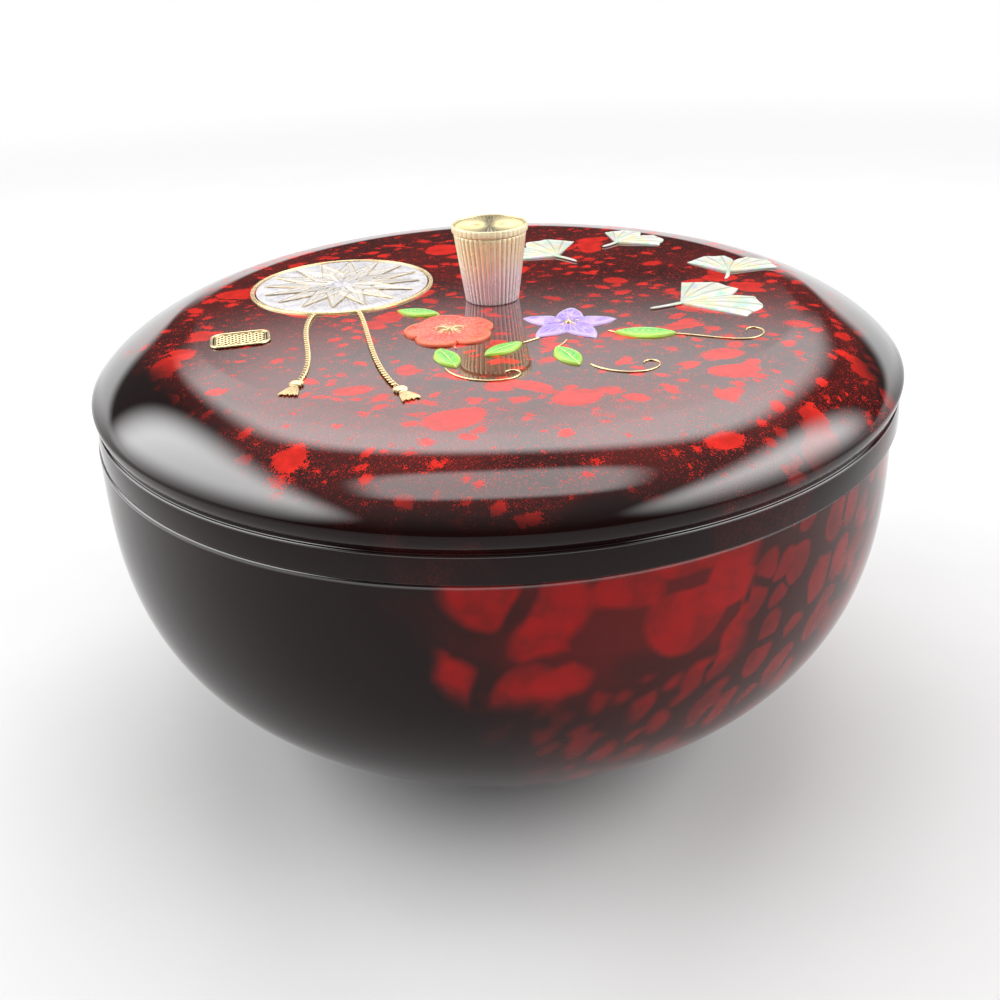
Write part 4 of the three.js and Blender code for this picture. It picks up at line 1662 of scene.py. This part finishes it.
def seen_white(material, n, away):
    """Turns a material to plain white with distance, for the camera and in reflections alone."""
    rays = n.add("LightPath").outputs
    seen = n.most(rays["Is Camera Ray"], n.most(rays["Is Glossy Ray"], rays["Is Transmission Ray"]))
    glow = n.add("Emission", {"Color": (1, 1, 1, 1), "Strength": 1.0})
    blend = n.add("MixShader", {0: n.times(away, seen)})
    tree = material.node_tree
    tree.links.new(tree.nodes["Principled BSDF"].outputs[0], blend.inputs[1])
    tree.links.new(glow.outputs[0], blend.inputs[2])
    tree.links.new(blend.outputs[0], tree.nodes["Material Output"].inputs["Surface"])


def floor():
    """Pale floor that holds the box's shadow near it and turns to plain white further off."""
    reach = 30
    mesh = bpy.data.meshes.new("floor")
    corners = [(-reach, -reach, 0), (reach, -reach, 0), (reach, reach, 0), (-reach, reach, 0)]
    mesh.from_pydata(corners, [], [(0, 1, 2, 3)])
    material, n, shader, position = finish("pale_floor")
    shader["Roughness"].default_value = 0.75
    shader["Specular IOR Level"].default_value = 0.1
    cloud = n.ramp(n.noise(position, 60 * mm, detail=4)["Fac"], 0.3, 0.7)
    n.set(shader["Base Color"], n.mix(cloud, (0.86, 0.86, 0.86, 1), (0.88, 0.88, 0.88, 1)))
    seen_white(material, n, n.ramp(n.vector("LENGTH", position), 0.25, 1.3))
    mesh.materials.append(material)
    linked("floor", mesh)


def sky():
    """White at the horizon, dim above it where the flat lid looks, and softly lit overhead."""
    world = bpy.data.worlds.new("studio")
    bpy.context.scene.world = world
    world.use_nodes = True
    n = Nodes(world.node_tree)
    direction = n.add("TexCoord").outputs["Generated"]
    rise = n.parts(n.vector("NORMALIZE", direction))[2]
    low = n.ramp(rise, sin(radians(8)), sin(radians(13)), 1.0, 0.05)
    high = n.ramp(rise, sin(radians(30)), sin(radians(50)), 0.0, 0.1)
    background = world.node_tree.nodes["Background"]
    n.set(background.inputs["Strength"], n.plus(low, high))
    background.inputs["Color"].default_value = (1, 1, 1, 1)


def fade(n, soft, foot_share):
    """A lamp's glow: full in its middle, soft at its rounded border and weaker towards its foot."""
    across = n.parts(n.add("NewGeometry").outputs["Parametric"])
    reach = [n.math("ABSOLUTE", n.math("MULTIPLY_ADD", part, 2.0, -1.0)) for part in across[:2]]
    rounded = n.plus(*[n.math("POWER", part, lamp_squareness) for part in reach])
    inset = n.minus(1.0, n.math("POWER", rounded, 1 / lamp_squareness))
    return n.times(n.ramp(inset, 0.0, soft), n.ramp(across[1], 0.0, 1.0, foot_share, 1.0))


def softbox(name, azimuth, elevation, distance, width, height, glow, soft, foot_share=1.0, roll=0):
    """A lamp that faces the box from that azimuth, elevation and distance."""
    light = bpy.data.lights.new(name, "AREA")
    light.shape = "RECTANGLE"
    light.size, light.size_y = width, height
    light.energy = glow * width * height * pi
    light.use_nodes = True
    n = Nodes(light.node_tree)
    n.set(light.node_tree.nodes["Emission"].inputs["Strength"], fade(n, soft, foot_share))
    lamp = linked(name, light)
    rise = radians(elevation)
    out = heading(azimuth) * cos(rise) + up * sin(rise)
    lamp.location = out * distance + up * aim_height
    spin = Matrix.Rotation(radians(roll), 3, "Z")
    lamp.rotation_euler = (out.to_track_quat("Z", "Y").to_matrix() @ spin).to_euler()
    lamp.visible_camera = False


def camera():
    """The photograph's view, from its fitted distance, height, swing and roll."""
    rise = radians(eye_elevation)
    aim = Vector((lid_centre, 0, aim_height))
    place = aim + Vector((0, -cos(rise), sin(rise))) * eye_distance
    ahead = (aim - place).normalized()
    right = Vector((1, 0, 0))
    over = right.cross(ahead)
    swing = Matrix.Rotation(radians(eye_swing), 3, over)
    ahead, right = swing @ ahead, swing @ right
    roll = Matrix.Rotation(radians(eye_roll), 3, ahead)
    right, over = roll @ right, roll @ over
    lens = bpy.data.cameras.new("view")
    lens.sensor_width = sensor_width
    lens.lens = sensor_width * focal_share
    lens.shift_x, lens.shift_y = shift_across, shift_down
    lens.clip_start, lens.clip_end = 0.01, 100
    eye = linked("view", lens)
    turn = Matrix((right, over, -ahead)).transposed().to_4x4()
    eye.matrix_world = Matrix.Translation(place) @ turn
    bpy.context.scene.camera = eye


def studio():
    camera()
    floor()
    sky()
    for name, settings in lamps.items():
        softbox(name, **settings)
    bpy.context.scene.view_settings.view_transform = "Standard"


studio()
bowl()
lid()
knob()
knob_cap()
screw()
washer()
insert()
ball()
for run in cord_runs:
    gold_cord(run)
tassel("tassel_left", left_tassel_place)
tassel("tassel_right", right_tassel_place)
bellflower()
plum()
tablet()
stems()
for index, place in enumerate(pearl_leaf_places, 1):
    ginkgo_leaf(f"ginkgo_leaf_{index}", f"pearl_leaf_{index}", place)
for index, place in enumerate(bellflower_leaf_places, 1):
    green_leaf(f"bellflower_green_{index}", f"bellflower_leaf_{index}", place)
for index, place in enumerate(plum_leaf_places, 1):
    green_leaf(f"plum_green_{index}", f"plum_leaf_{index}", place)
